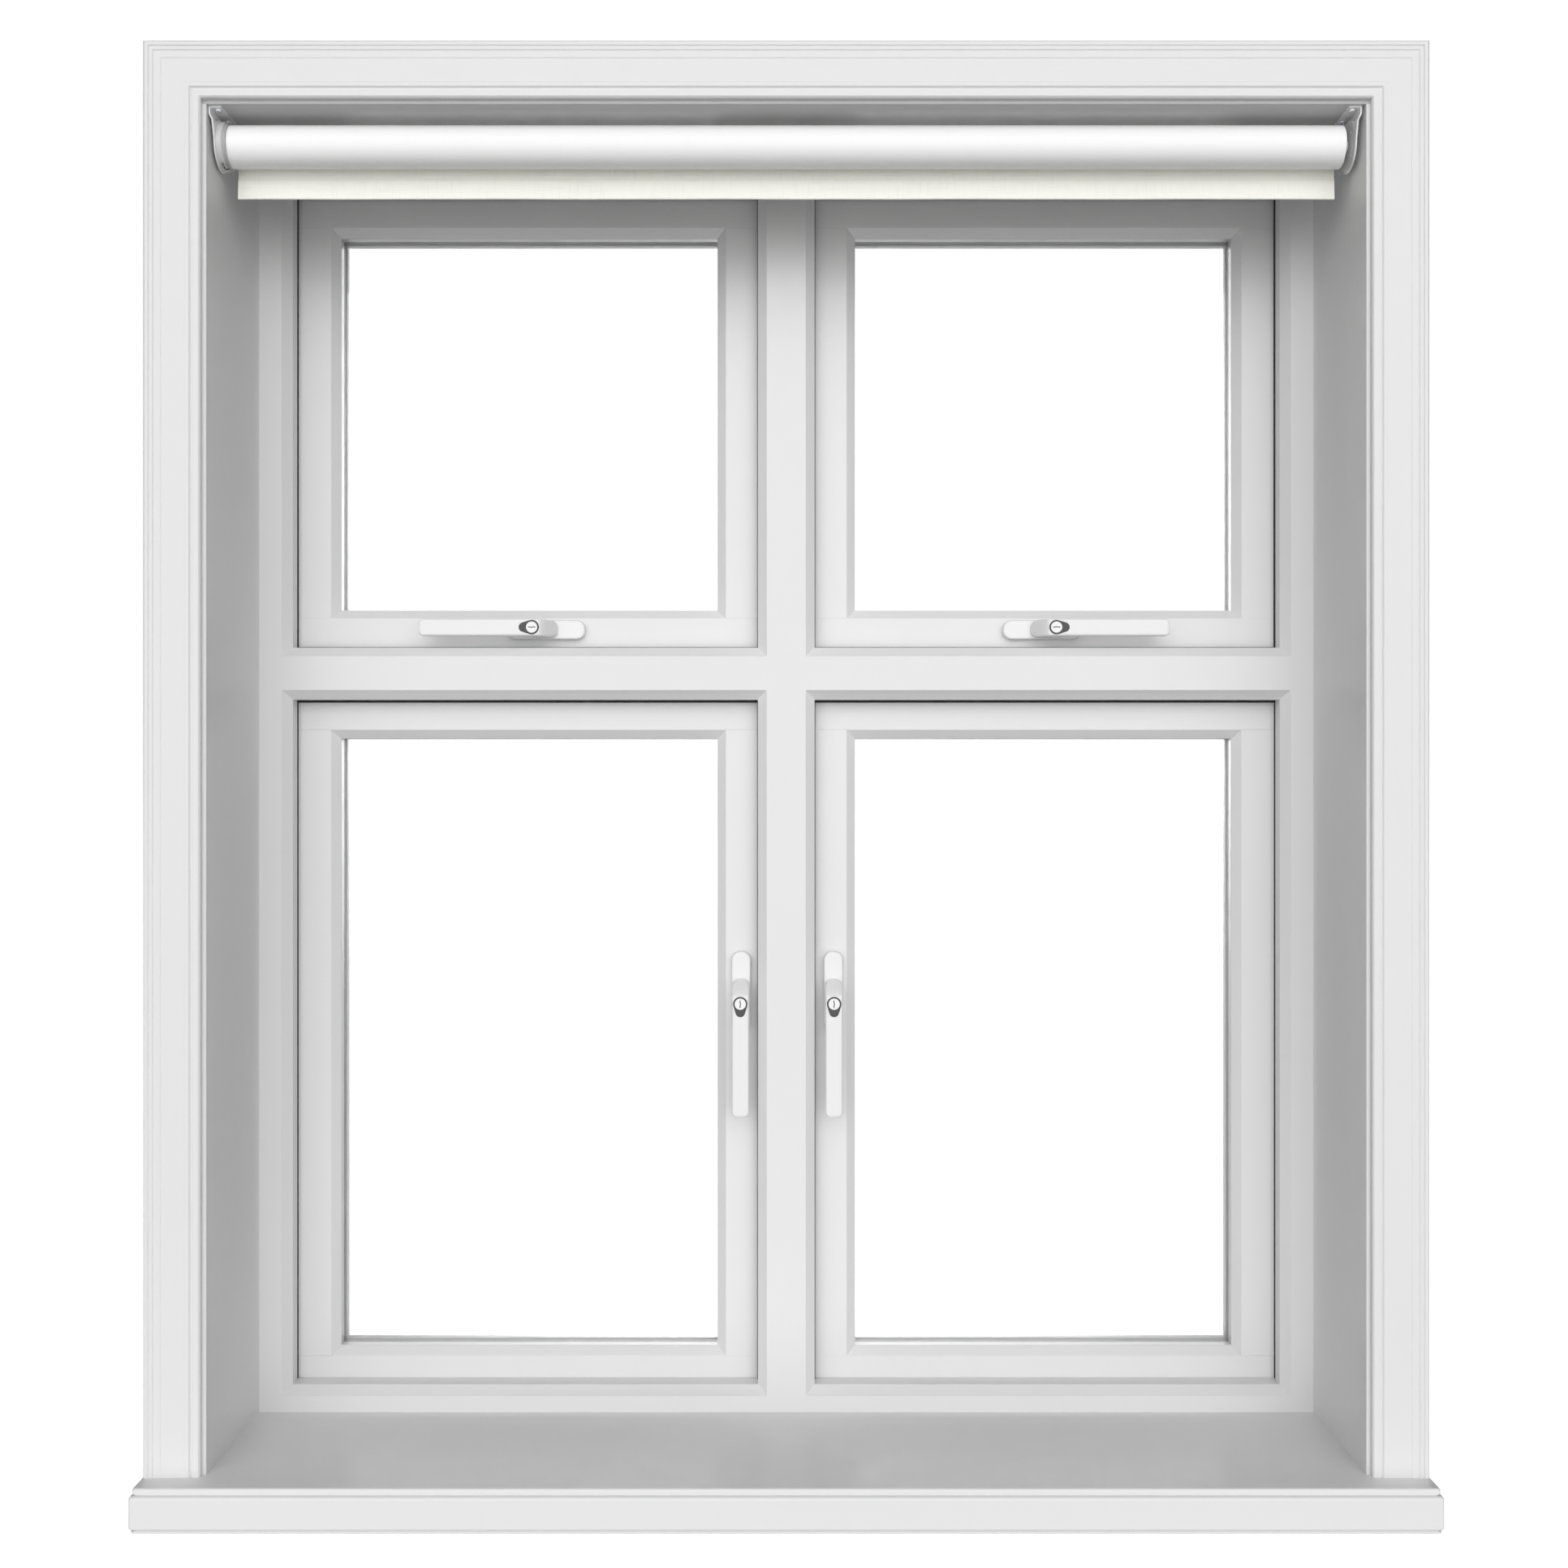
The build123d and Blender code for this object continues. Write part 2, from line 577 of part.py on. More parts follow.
def architraves():
    """The three mitred lengths of the moulding round the reveal."""
    inner = LINING_HALF_WIDTH + ARCHITRAVE_MARGIN
    outer = inner + ARCHITRAVE_WIDTH
    top = SOFFIT_Z + ARCHITRAVE_MARGIN + ARCHITRAVE_WIDTH
    leg_section = [(u - outer, WALL - v) for u, v in ARCHITRAVE_SECTION]
    leg = bar_along_z(leg_section, BOARD_TOP_Z, top)
    far = top - outer
    leg &= panel([(-outer, 0), (-outer, top), (0, far), (0, 0)], WALL - 20, WALL)
    head_section = [(WALL - v, top - u) for u, v in ARCHITRAVE_SECTION]
    across = bar_along_x(head_section, -outer, outer)
    across &= panel([(-outer, top), (outer, top), (0, far)], WALL - 20, WALL)
    return leg, mirrored(leg), across


def window_board():
    """The board and its moulded nose, whose profile returns round both ends."""
    reach, half = BOARD_PROJECTION, BOARD_HALF_WIDTH
    low = BOARD_TOP_Z - NOSE_HEIGHT
    # Each layer: bottom, top, how far it stands back from the nose, rounds below and above.
    layers = [
        (BOARD_TOP_Z - 6.0, BOARD_TOP_Z, 3.0, 0.0, 2.6),
        (BOARD_TOP_Z - 7.6, BOARD_TOP_Z - 6.0, 4.6, 0.0, 0.0),
        (low + 4.0, BOARD_TOP_Z - 7.6, 0.0, 2.4, 4.0),
        (low + 2.4, low + 4.0, 3.6, 0.0, 0.0),
        (low, low + 2.4, 2.0, 0.9, 0.9),
    ]
    board = block(-LINING_HALF_WIDTH - LINING_THICKNESS, LINING_HALF_WIDTH + LINING_THICKNESS,
                  WALL, FACE, BOARD_TOP_Z - BOARD_THICKNESS, BOARD_TOP_Z)
    for z0, z1, back, round_low, round_high in layers:
        layer = block(-half + back, half - back, WALL - reach + back, WALL, z0, z1)
        uprights = layer.edges().filter_by(Axis.Z).filter_by(lambda e: e.center().Y < WALL - 5)
        layer = fillet(uprights, 4.0)
        for round_size, pick in ((round_low, 0), (round_high, -1)):
            if round_size:
                rim = layer.edges().group_by(Axis.Z)[pick].filter_by(lambda e: e.center().Y < WALL - 0.1)
                layer = fillet(rim, round_size)
        board += layer
    return board


save([lining_side(), mirrored(lining_side())], "lining_sides")
save(lining_head(), "lining_head")
left_leg, right_leg, across = architraves()
save(left_leg, "architrave_left")
save(right_leg, "architrave_right")
save(across, "architrave_head")
save(window_board(), "window_board")

# ---------------------------------------------------------------- roller blind
BRACKET_SHEET = 1.8
BRACKET_RADIUS = 27.5
BRACKET_INNER = 611.6     # inner face of the bracket below its joggle
BRACKET_JOGGLE = 2.9
BRACKET_FRONT = 34.5      # roll's axis to the front of the flange, towards the room
IDLE_INSET = 2.2          # how much further from its lining the right-hand bracket stands
FLANGE_WIDTH = 12.0
SCREW_OFFSETS = (-27.5, 7.0)  # from the roll's axis, towards the window
HOUSING_RADIUS = 26.0
HUB_RADIUS = 9.0
IDLE_PIN_RADIUS = 3.0


def blind_bracket(hole):
    """The left-hand bracket: a joggled plate with a round foot and a flange to the soffit."""
    outer = BRACKET_INNER + BRACKET_SHEET
    y0, y1 = ROLL_Y - BRACKET_RADIUS, ROLL_Y + BRACKET_RADIUS
    bend_low, bend_high = SOFFIT_Z - 14.0, SOFFIT_Z - 8.0
    top = SOFFIT_Z
    upper = BRACKET_INNER + BRACKET_JOGGLE
    flange_end = upper - FLANGE_WIDTH
    section = [(-BRACKET_INNER, ROLL_Z), (-BRACKET_INNER, bend_low), (-upper, bend_high),
               (-upper, top - BRACKET_SHEET), (-flange_end, top - BRACKET_SHEET), (-flange_end, top),
               (-outer - BRACKET_JOGGLE, top), (-outer - BRACKET_JOGGLE, bend_high),
               (-outer, bend_low), (-outer, ROLL_Z)]
    front = ROLL_Y - BRACKET_FRONT
    outline = [(front, top), (y1, top), (y1, ROLL_Z), (y0, ROLL_Z), (front, top - 12.0)]
    body = panel(section, front, y1) & bar_along_x(outline, -outer - 10, -BRACKET_INNER + 20)
    body += rod((-outer, ROLL_Y, ROLL_Z), (-BRACKET_INNER, ROLL_Y, ROLL_Z), BRACKET_RADIUS)
    body -= rod((-outer - 1, ROLL_Y, ROLL_Z), (-BRACKET_INNER + 1, ROLL_Y, ROLL_Z), hole)
    for across_hole in (-1, 1):
        for up in (-1, 1):
            y, z = ROLL_Y + across_hole * 12, ROLL_Z + up * 12
            body -= rod((-outer - 1, y, z), (-BRACKET_INNER + 1, y, z), 2.0)
    for x, y in screw_places():
        body -= rod((x, y, top - 5), (x, y, top + 1), 2.0)
    return body


def screw_places():
    x = -BRACKET_INNER - BRACKET_JOGGLE + FLANGE_WIDTH / 2 + 0.6
    return [(x, ROLL_Y + offset) for offset in SCREW_OFFSETS]


def bracket_screw(x, y):
    """A pan-head screw whose shank ends in the lining."""
    under = SOFFIT_Z - BRACKET_SHEET
    head = rod((x, y, under), (x, y, under - 2.2), 3.6)
    head = fillet(head.edges().group_by(Axis.Z)[0], 1.4)
    head += rod((x, y, under), (x, y, SOFFIT_Z), 1.9)
    return head - Pos(x, y, under - 2.2) * Box(4.4, 1.0, 1.6) - Pos(x, y, under - 2.2) * Box(1.0, 4.4, 1.6)


def drive_housing():
    """The fixed side control: a stepped disc, its hub and the small outlet under it."""
    step = -BRACKET_INNER + 6.6
    end = -ROLL_HALF_LENGTH - FREE
    disc = rod((-BRACKET_INNER, ROLL_Y, ROLL_Z), (step, ROLL_Y, ROLL_Z), HOUSING_RADIUS)
    disc = chamfer(disc.edges().filter_by(GeomType.CIRCLE).sort_by(Axis.X)[-1], 1.2)
    disc += rod((step, ROLL_Y, ROLL_Z), (end, ROLL_Y, ROLL_Z), HOUSING_RADIUS - 2.0)
    disc += rod((end, ROLL_Y, ROLL_Z), (end + 34, ROLL_Y, ROLL_Z), HUB_RADIUS)
    for near, far in ((-16, -4), (4, 16)):
        disc -= block(-BRACKET_INNER + 2.0, step - 1.0, ROLL_Y + near, ROLL_Y + far,
                      ROLL_Z - 40, ROLL_Z - 21.5)
    return disc


def drive_plug():
    """The plug in the tube that turns on the hub."""
    start = -ROLL_HALF_LENGTH
    body = rod((start, ROLL_Y, ROLL_Z), (start + 40, ROLL_Y, ROLL_Z), TUBE_RADIUS - TUBE_WALL)
    return body - rod((start - 1, ROLL_Y, ROLL_Z), (start + 36, ROLL_Y, ROLL_Z), HUB_RADIUS + RUNNING)


def idle_plug():
    """The plug and pin at the right-hand end, which turns in the bracket."""
    end = ROLL_HALF_LENGTH
    body = rod((end - 40, ROLL_Y, ROLL_Z), (end, ROLL_Y, ROLL_Z), TUBE_RADIUS - TUBE_WALL)
    body += rod((end, ROLL_Y, ROLL_Z), (end + 6.5, ROLL_Y, ROLL_Z), 7.0)
    pin_end = BRACKET_INNER + BRACKET_SHEET + 1.5 - IDLE_INSET
    body += rod((end, ROLL_Y, ROLL_Z), (pin_end, ROLL_Y, ROLL_Z), IDLE_PIN_RADIUS)
    return body


def roll_ring(outer, inner):
    start, end = (-ROLL_HALF_LENGTH, ROLL_Y, ROLL_Z), (ROLL_HALF_LENGTH, ROLL_Y, ROLL_Z)
    return rod(start, end, outer) - rod(start, end, inner)


HEM_HEIGHT = 24.0
HEM_THICKNESS = 3.6
BAR_SIZE = (1196.0, 2.2, 18.0)
drop_y = ROLL_Y + ROLL_RADIUS
hem_z = ROLL_Z - FABRIC_DROP


def fabric_drop():
    """The cloth between the roll and its hem, with the pocket that holds the bar."""
    sheet = block(-ROLL_HALF_LENGTH, ROLL_HALF_LENGTH, drop_y + FREE,
                  drop_y + FREE + FABRIC_THICKNESS, hem_z, ROLL_Z)
    middle = drop_y + FREE + FABRIC_THICKNESS / 2
    hem = block(-ROLL_HALF_LENGTH, ROLL_HALF_LENGTH, middle - HEM_THICKNESS / 2, middle + HEM_THICKNESS / 2,
                hem_z, hem_z + HEM_HEIGHT)
    return sheet + hem - bottom_bar(0.2)


def bottom_bar(grow=0.0):
    length, thick, height = (size + grow for size in BAR_SIZE)
    middle = drop_y + FREE + FABRIC_THICKNESS / 2
    return Pos(0, middle, hem_z + HEM_HEIGHT / 2) * Box(length, thick, height)


left_bracket = blind_bracket(4.0)
right_bracket = Pos(-IDLE_INSET, 0, 0) * mirrored(blind_bracket(IDLE_PIN_RADIUS + RUNNING))
screws = [bracket_screw(x, y) for x, y in screw_places()]
right_screws = [Pos(-IDLE_INSET, 0, 0) * mirrored(screw) for screw in screws]
save([left_bracket, right_bracket], "blind_brackets")
save(screws + right_screws, "bracket_screws")
save(drive_housing(), "blind_drive_housing")
save(drive_plug(), "blind_drive_plug")
save(idle_plug(), "blind_idle_plug")
save(roll_ring(TUBE_RADIUS, TUBE_RADIUS - TUBE_WALL), "blind_tube")
save(roll_ring(ROLL_RADIUS, TUBE_RADIUS), "blind_wound_fabric")
save(fabric_drop(), "blind_fabric_drop")
save(bottom_bar(), "blind_bottom_bar")
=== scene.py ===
import json
import math

import bmesh
import bpy
from mathutils import Matrix, Vector


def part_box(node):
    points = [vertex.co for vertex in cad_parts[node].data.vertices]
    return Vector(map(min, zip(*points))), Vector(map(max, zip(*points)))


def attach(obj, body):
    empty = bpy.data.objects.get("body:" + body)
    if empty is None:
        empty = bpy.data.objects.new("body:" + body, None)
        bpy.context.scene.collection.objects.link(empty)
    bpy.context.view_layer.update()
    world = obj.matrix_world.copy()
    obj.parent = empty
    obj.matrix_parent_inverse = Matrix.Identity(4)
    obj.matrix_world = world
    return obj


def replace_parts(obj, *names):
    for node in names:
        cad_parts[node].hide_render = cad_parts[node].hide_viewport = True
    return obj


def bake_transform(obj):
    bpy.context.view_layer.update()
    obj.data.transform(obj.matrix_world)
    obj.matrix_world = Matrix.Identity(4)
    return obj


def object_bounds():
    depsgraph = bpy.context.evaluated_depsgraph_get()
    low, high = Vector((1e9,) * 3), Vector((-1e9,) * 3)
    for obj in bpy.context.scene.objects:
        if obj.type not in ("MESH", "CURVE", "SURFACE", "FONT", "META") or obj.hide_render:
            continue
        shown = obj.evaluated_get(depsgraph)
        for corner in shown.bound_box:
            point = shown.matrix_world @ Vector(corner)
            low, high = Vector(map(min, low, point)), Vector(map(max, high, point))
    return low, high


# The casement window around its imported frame. Everything is in metres, X right seen from
# the room, Y out of doors, Z up.
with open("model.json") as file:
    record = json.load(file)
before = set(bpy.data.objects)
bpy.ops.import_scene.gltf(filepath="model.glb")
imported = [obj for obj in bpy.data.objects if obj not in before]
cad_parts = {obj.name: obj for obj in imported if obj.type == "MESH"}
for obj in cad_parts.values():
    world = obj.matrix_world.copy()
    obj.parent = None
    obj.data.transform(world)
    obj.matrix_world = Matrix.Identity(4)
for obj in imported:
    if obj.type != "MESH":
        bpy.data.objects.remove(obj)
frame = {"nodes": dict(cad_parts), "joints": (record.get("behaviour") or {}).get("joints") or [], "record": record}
cad_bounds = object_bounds()
NODES = frame["nodes"]
BODIES = frame["record"]["behaviour"]["bodies"]
BODY_OF = {node: body for body, nodes in BODIES.items() for node in nodes}
SLOT_OF = {s["node"]: s["material_slot"] for s in frame["record"]["subparts"]}
SASHES = ("upper_left", "upper_right", "lower_left", "lower_right")
MM = 0.001
MICRON = 0.000001


# ---------------------------------------------------------------- camera, light and floor
# The camera and the lights were fitted to the photo's edges and grey levels.
FACE_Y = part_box("frame_jamb_left")[0].y
EYE_DISTANCE = 2.0805    # from the camera to the frame's room face
EYE_HEIGHT = 0.7575
LENS = 40.81             # millimetres, on a 36 mm sensor
SHIFT = (-0.00145, 0.0031)
KEY_SIDE = 0.3           # how far to each side the two key lights stand, per unit in front
KEY_RISE = 0.27          # and how far up
KEY_POWER = 6.0          # the higher, the narrower a key light
KEY_LIGHT = 1.78
DOME_LIGHT = 0.155
DOME_BEHIND = 0.3        # the dome's share that is left behind the window
DOME_TURN = 0.4          # cosine either side of the window's plane over which it dims
BACK_LIGHT = 2.4
BACKDROP = 1.3
FLOOR_LIGHT = 3.6
FLOOR_HALF = 40.0
FLOOR_GAP = 0.5 * MM     # between the part's lowest point and the floor
SUN_ANGLE = 24           # degrees across a sun's disc, for soft shadows


def make_camera():
    data = bpy.data.cameras.new("camera")
    data.sensor_width = 36.0
    data.lens = LENS
    data.shift_x, data.shift_y = SHIFT
    data.clip_start, data.clip_end = 0.05, 200.0
    camera = bpy.data.objects.new("camera", data)
    camera.location = (0.0, FACE_Y - EYE_DISTANCE, EYE_HEIGHT)
    camera.rotation_euler = (math.radians(90), 0, 0)
    bpy.context.scene.collection.objects.link(camera)
    bpy.context.scene.camera = camera


def make_world():
    """Two soft key lights in front, a dim dome round them, and a plain white backdrop."""
    world = bpy.data.worlds.new("studio")
    world.use_nodes = True
    tree = world.node_tree
    background = tree.nodes["Background"]
    place = tree.nodes.new("ShaderNodeTexCoord")

    def towards(direction):
        """The cosine between where a ray looks and a direction."""
        node = tree.nodes.new("ShaderNodeVectorMath")
        node.operation = "DOT_PRODUCT"
        node.inputs[1].default_value = Vector(direction).normalized()
        tree.links.new(place.outputs["Generated"], node.inputs[0])
        return node.outputs["Value"]

    def maths(operation, first, second):
        node = tree.nodes.new("ShaderNodeMath")
        node.operation = operation
        tree.links.new(first, node.inputs[0])
        if isinstance(second, float):
            node.inputs[1].default_value = second
        else:
            tree.links.new(second, node.inputs[1])
        return node.outputs["Value"]

    dome = tree.nodes.new("ShaderNodeMapRange")
    dome.interpolation_type = "SMOOTHSTEP"
    for socket, number in (("From Min", -DOME_TURN), ("From Max", DOME_TURN),
                           ("To Min", DOME_LIGHT * DOME_BEHIND), ("To Max", DOME_LIGHT)):
        dome.inputs[socket].default_value = number
    tree.links.new(towards((0, -1, KEY_RISE)), dome.inputs["Value"])
    light = dome.outputs["Result"]
    for side in (-KEY_SIDE, KEY_SIDE):
        lobe = maths("MAXIMUM", towards((side, -1, KEY_RISE)), 0.0)
        lobe = maths("POWER", lobe, KEY_POWER)
        light = maths("ADD", maths("MULTIPLY", lobe, KEY_LIGHT), light)
    path = tree.nodes.new("ShaderNodeLightPath")
    seen = maths("MAXIMUM", path.outputs["Is Camera Ray"], path.outputs["Is Transmission Ray"])
    strength = tree.nodes.new("ShaderNodeMix")
    tree.links.new(seen, strength.inputs["Factor"])
    tree.links.new(light, strength.inputs["A"])
    strength.inputs["B"].default_value = BACKDROP
    tree.links.new(strength.outputs["Result"], background.inputs["Strength"])
    background.inputs["Color"].default_value = (1.0, 1.0, 1.0, 1.0)
    bpy.context.scene.world = world
    bpy.context.scene.view_settings.view_transform = "Standard"


def lamp_for(receivers, name, strength, from_side, shadows):
    """A soft sun that lights only the given objects."""
    data = bpy.data.lights.new(name, "SUN")
    data.energy = strength
    data.angle = math.radians(SUN_ANGLE)
    data.use_shadow = shadows
    light = bpy.data.objects.new(name, data)
    light.rotation_euler = Vector(from_side).to_track_quat("Z", "Y").to_euler()
    bpy.context.scene.collection.objects.link(light)
    lit = bpy.data.collections.new(name + "_receivers")
    for thing in receivers:
        lit.objects.link(thing)
    light.light_linking.receiver_collection = lit


def make_floor(material):
    low, half = cad_bounds[0].z - FLOOR_GAP, FLOOR_HALF
    mesh = bpy.data.meshes.new("studio_floor")
    corners = [(-half, -half, low), (half, -half, low), (half, half, low), (-half, half, low)]
    mesh.from_pydata(corners, [], [(0, 1, 2, 3)])
    mesh.materials.append(material)
    floor = bpy.data.objects.new("studio_floor", mesh)
    bpy.context.scene.collection.objects.link(floor)
    floor.visible_diffuse = False
    floor.visible_shadow = False
    # The floor stays as white as the backdrop.
    lamp_for([floor], "floor_light", FLOOR_LIGHT, (0, 0, 1), shadows=False)


# ---------------------------------------------------------------- materials
class Shader:
    """A material's node tree with short ways to add to it."""

    def __init__(self, name, colour, roughness, **constants):
        self.material = bpy.data.materials.new(name)
        self.material.use_nodes = True
        self.tree = self.material.node_tree
        self.surface = self.tree.nodes["Principled BSDF"]
        self.surface.inputs["Base Color"].default_value = (*colour, 1.0)
        self.surface.inputs["Roughness"].default_value = roughness
        for socket, value in constants.items():
            self.surface.inputs[socket.replace("_", " ")].default_value = value
        self.place = self.add("ShaderNodeTexCoord").outputs["Object"]

    def add(self, kind, **settings):
        node = self.tree.nodes.new(kind)
        for key, value in settings.items():
            setattr(node, key, value)
        return node

    def join(self, start, end):
        self.tree.links.new(start, end)

    def stretched(self, scale):
        mapping = self.add("ShaderNodeMapping")
        mapping.inputs["Scale"].default_value = scale
        self.join(self.place, mapping.inputs["Vector"])
        return mapping.outputs["Vector"]

    def noise(self, scale, detail=3.0, rough=0.5, stretch=(1, 1, 1)):
        node = self.add("ShaderNodeTexNoise")
        node.inputs["Scale"].default_value = scale
        node.inputs["Detail"].default_value = detail
        node.inputs["Roughness"].default_value = rough
        self.join(self.stretched(stretch), node.inputs["Vector"])
        return node.outputs["Fac"]

    def ranged(self, value, low, high, start=0.3, end=0.7):
        node = self.add("ShaderNodeMapRange")
        limits = {"From Min": start, "From Max": end, "To Min": low, "To Max": high}
        for socket, number in limits.items():
            node.inputs[socket].default_value = number
        self.join(value, node.inputs["Value"])
        return node.outputs["Result"]

    def maths(self, operation, first, second):
        node = self.add("ShaderNodeMath", operation=operation)
        for i, value in enumerate((first, second)):
            if isinstance(value, (int, float)):
                node.inputs[i].default_value = value
            else:
                self.join(value, node.inputs[i])
        return node.outputs["Value"]

    def mix(self, factor, first, second):
        node = self.add("ShaderNodeMix", data_type="RGBA")
        if isinstance(factor, (int, float)):
            node.inputs["Factor"].default_value = factor
        else:
            self.join(factor, node.inputs["Factor"])
        for name, value in (("A", first), ("B", second)):
            socket = next(s for s in node.inputs if s.name == name and s.type == "RGBA")
            if isinstance(value, tuple):
                socket.default_value = (*value, 1.0)
            else:
                self.join(value, socket)
        return next(s for s in node.outputs if s.type == "RGBA")

    def colour(self, value):
        self.join(value, self.surface.inputs["Base Color"])

    def roughness(self, value):
        self.join(value, self.surface.inputs["Roughness"])

    def bump(self, *layers):
        """Bump layers, each a height, its strength and its depth in metres."""
        normal = None
        for height, strength, depth in layers:
            node = self.add("ShaderNodeBump")
            node.inputs["Strength"].default_value = strength
            node.inputs["Distance"].default_value = depth
            self.join(height, node.inputs["Height"])
            if normal is not None:
                self.join(normal, node.inputs["Normal"])
            normal = node.outputs["Normal"]
        self.join(normal, self.surface.inputs["Normal"])


PAINT = (0.78, 0.78, 0.78)
SOFFIT_SHADE = 0.76      # the photo's soffit is darker than light from the front makes it
GRAIN = {"X": (0.03, 1.0, 1.0), "Y": (1.0, 0.03, 1.0), "Z": (1.0, 1.0, 0.03)}
CORNER_SHADE_REACH = 6 * MM      # how far from an inner corner the paint is darkened, as painted shade


def shaded(colour, factor):
    return tuple(c * factor for c in colour)


def paint(name, along, base):
    """Sprayed satin paint over planed timber whose grain runs along one axis."""
    s = Shader(name, base, 0.4, Coat_Weight=0.2, Coat_Roughness=0.16)
    grain = s.noise(420.0, 4.0, 0.55, GRAIN[along])
    peel = s.noise(750.0, 2.0, 0.5)
    tone = s.mix(s.ranged(s.noise(2.2, 2.0, 0.5), 0.0, 1.0), base, shaded(base, 0.985))
    # Painted shade: the paint is darkened a little near inner corners, where ambient occlusion finds shade.
    corner = s.add("ShaderNodeAmbientOcclusion")
    corner.inputs["Distance"].default_value = CORNER_SHADE_REACH
    corner_shade = s.ranged(corner.outputs["AO"], 0.3, 0.0, 0.2, 0.75)
    s.colour(s.mix(corner_shade, tone, shaded(base, 0.97)))
    s.roughness(s.ranged(s.noise(60.0, 4.0, 0.6), 0.34, 0.46))
    s.bump((grain, 0.08, 0.0004), (peel, 0.04, 0.0003))
    return s.material


def powder_coat(name, colour, roughness):
    """Powder coated metal: an even gloss, a little duller in places, with a fine orange peel."""
    s = Shader(name, colour, roughness, Coat_Weight=0.25, Coat_Roughness=0.15)
    s.roughness(s.ranged(s.noise(38.0, 3.0, 0.5), roughness - 0.02, roughness + 0.06))
    s.colour(s.mix(s.ranged(s.noise(6.0, 1.0), 0.0, 1.0), colour, shaded(colour, 0.992)))
    s.bump((s.noise(1400.0, 2.0), 0.04, 0.0002))
    return s.material


def plated_steel(name, colour, roughness):
    """Zinc plated steel, drawn lengthwise, with faint dark scuffs."""
    s = Shader(name, colour, roughness, Metallic=1.0)
    drawn = s.noise(900.0, 3.0, 0.6, GRAIN["Z"])
    scuff = s.ranged(s.noise(55.0, 6.0, 0.65), 0.0, 1.0, 0.52, 0.72)
    s.colour(s.mix(scuff, colour, shaded(colour, 0.72)))
    s.roughness(s.ranged(drawn, roughness - 0.08, roughness + 0.14))
    s.bump((drawn, 0.08, 0.0002))
    return s.material


def moulded(name, colour, roughness):
    """Moulded plastic with a fine spark-eroded texture."""
    s = Shader(name, colour, roughness, Specular_IOR_Level=0.45)
    s.roughness(s.ranged(s.noise(140.0, 4.0), roughness - 0.04, roughness + 0.08))
    s.colour(s.mix(s.ranged(s.noise(16.0), 0.0, 1.0), colour, shaded(colour, 0.95)))
    s.bump((s.noise(2600.0, 2.0), 0.12, 0.00015))
    return s.material


def rubber(name):
    """Extruded weather seal: matte, slightly bloomed, with lines along its length."""
    s = Shader(name, (0.02, 0.02, 0.021), 0.75, Specular_IOR_Level=0.3)
    bloom = s.ranged(s.noise(70.0, 5.0, 0.65), 0.0, 1.0, 0.5, 0.8)
    s.colour(s.mix(bloom, (0.018, 0.018, 0.019), (0.05, 0.05, 0.052)))
    s.bump((s.noise(1800.0, 2.0), 0.15, 0.0002))
    return s.material


def woven(name, face, slub_shade, relief, gloss):
    """Linen-look blind cloth: crossed threads with thick slubs along both of them."""
    s = Shader(name, face, 0.6, Sheen_Weight=0.1, Specular_IOR_Level=gloss)
    threads = []
    for direction in ("X", "Z"):
        wave = s.add("ShaderNodeTexWave", wave_type="BANDS", bands_direction=direction)
        wave.inputs["Scale"].default_value = 320.0
        wave.inputs["Distortion"].default_value = 1.2
        wave.inputs["Detail"].default_value = 1.0
        s.join(s.place, wave.inputs["Vector"])
        threads.append(wave.outputs["Fac"])
    weave = s.maths("MULTIPLY", threads[0], threads[1])
    across = s.noise(520.0, 3.0, 0.6, (0.05, 1.0, 1.0))
    down = s.noise(520.0, 3.0, 0.6, (1.0, 1.0, 0.06))
    slub = s.maths("MAXIMUM", across, down)
    s.colour(s.mix(s.ranged(slub, 0.0, 1.0, 0.52, 0.78), face, shaded(face, slub_shade)))
    s.roughness(s.ranged(slub, 0.5, 0.62))
    s.bump((weave, relief, 0.0002), (slub, relief, 0.0003))
    return s.material


def clear_glass():
    """Float glass, barely green, with a faint dusty film on its face."""
    s = Shader("float_glass", (0.998, 1.0, 0.999), 0.0, Transmission_Weight=1.0, IOR=1.5)
    s.roughness(s.ranged(s.noise(7.0, 6.0, 0.7), 0.0, 0.004, 0.5, 0.8))
    s.bump((s.noise(1.3, 1.0), 0.02, 0.0005))
    return s.material


def mill_aluminium():
    s = Shader("mill_aluminium", (0.78, 0.79, 0.8), 0.35, Metallic=1.0)
    s.roughness(s.ranged(s.noise(700.0, 3.0, 0.6, GRAIN["X"]), 0.28, 0.45))
    s.bump((s.noise(1000.0, 3.0, 0.6, GRAIN["X"]), 0.08, 0.0002))
    return s.material


def studio_floor():
    s = Shader("pale_floor", (0.93, 0.93, 0.93), 0.9, Specular_IOR_Level=0.1)
    s.roughness(s.ranged(s.noise(3.0), 0.85, 0.95))
    return s.material


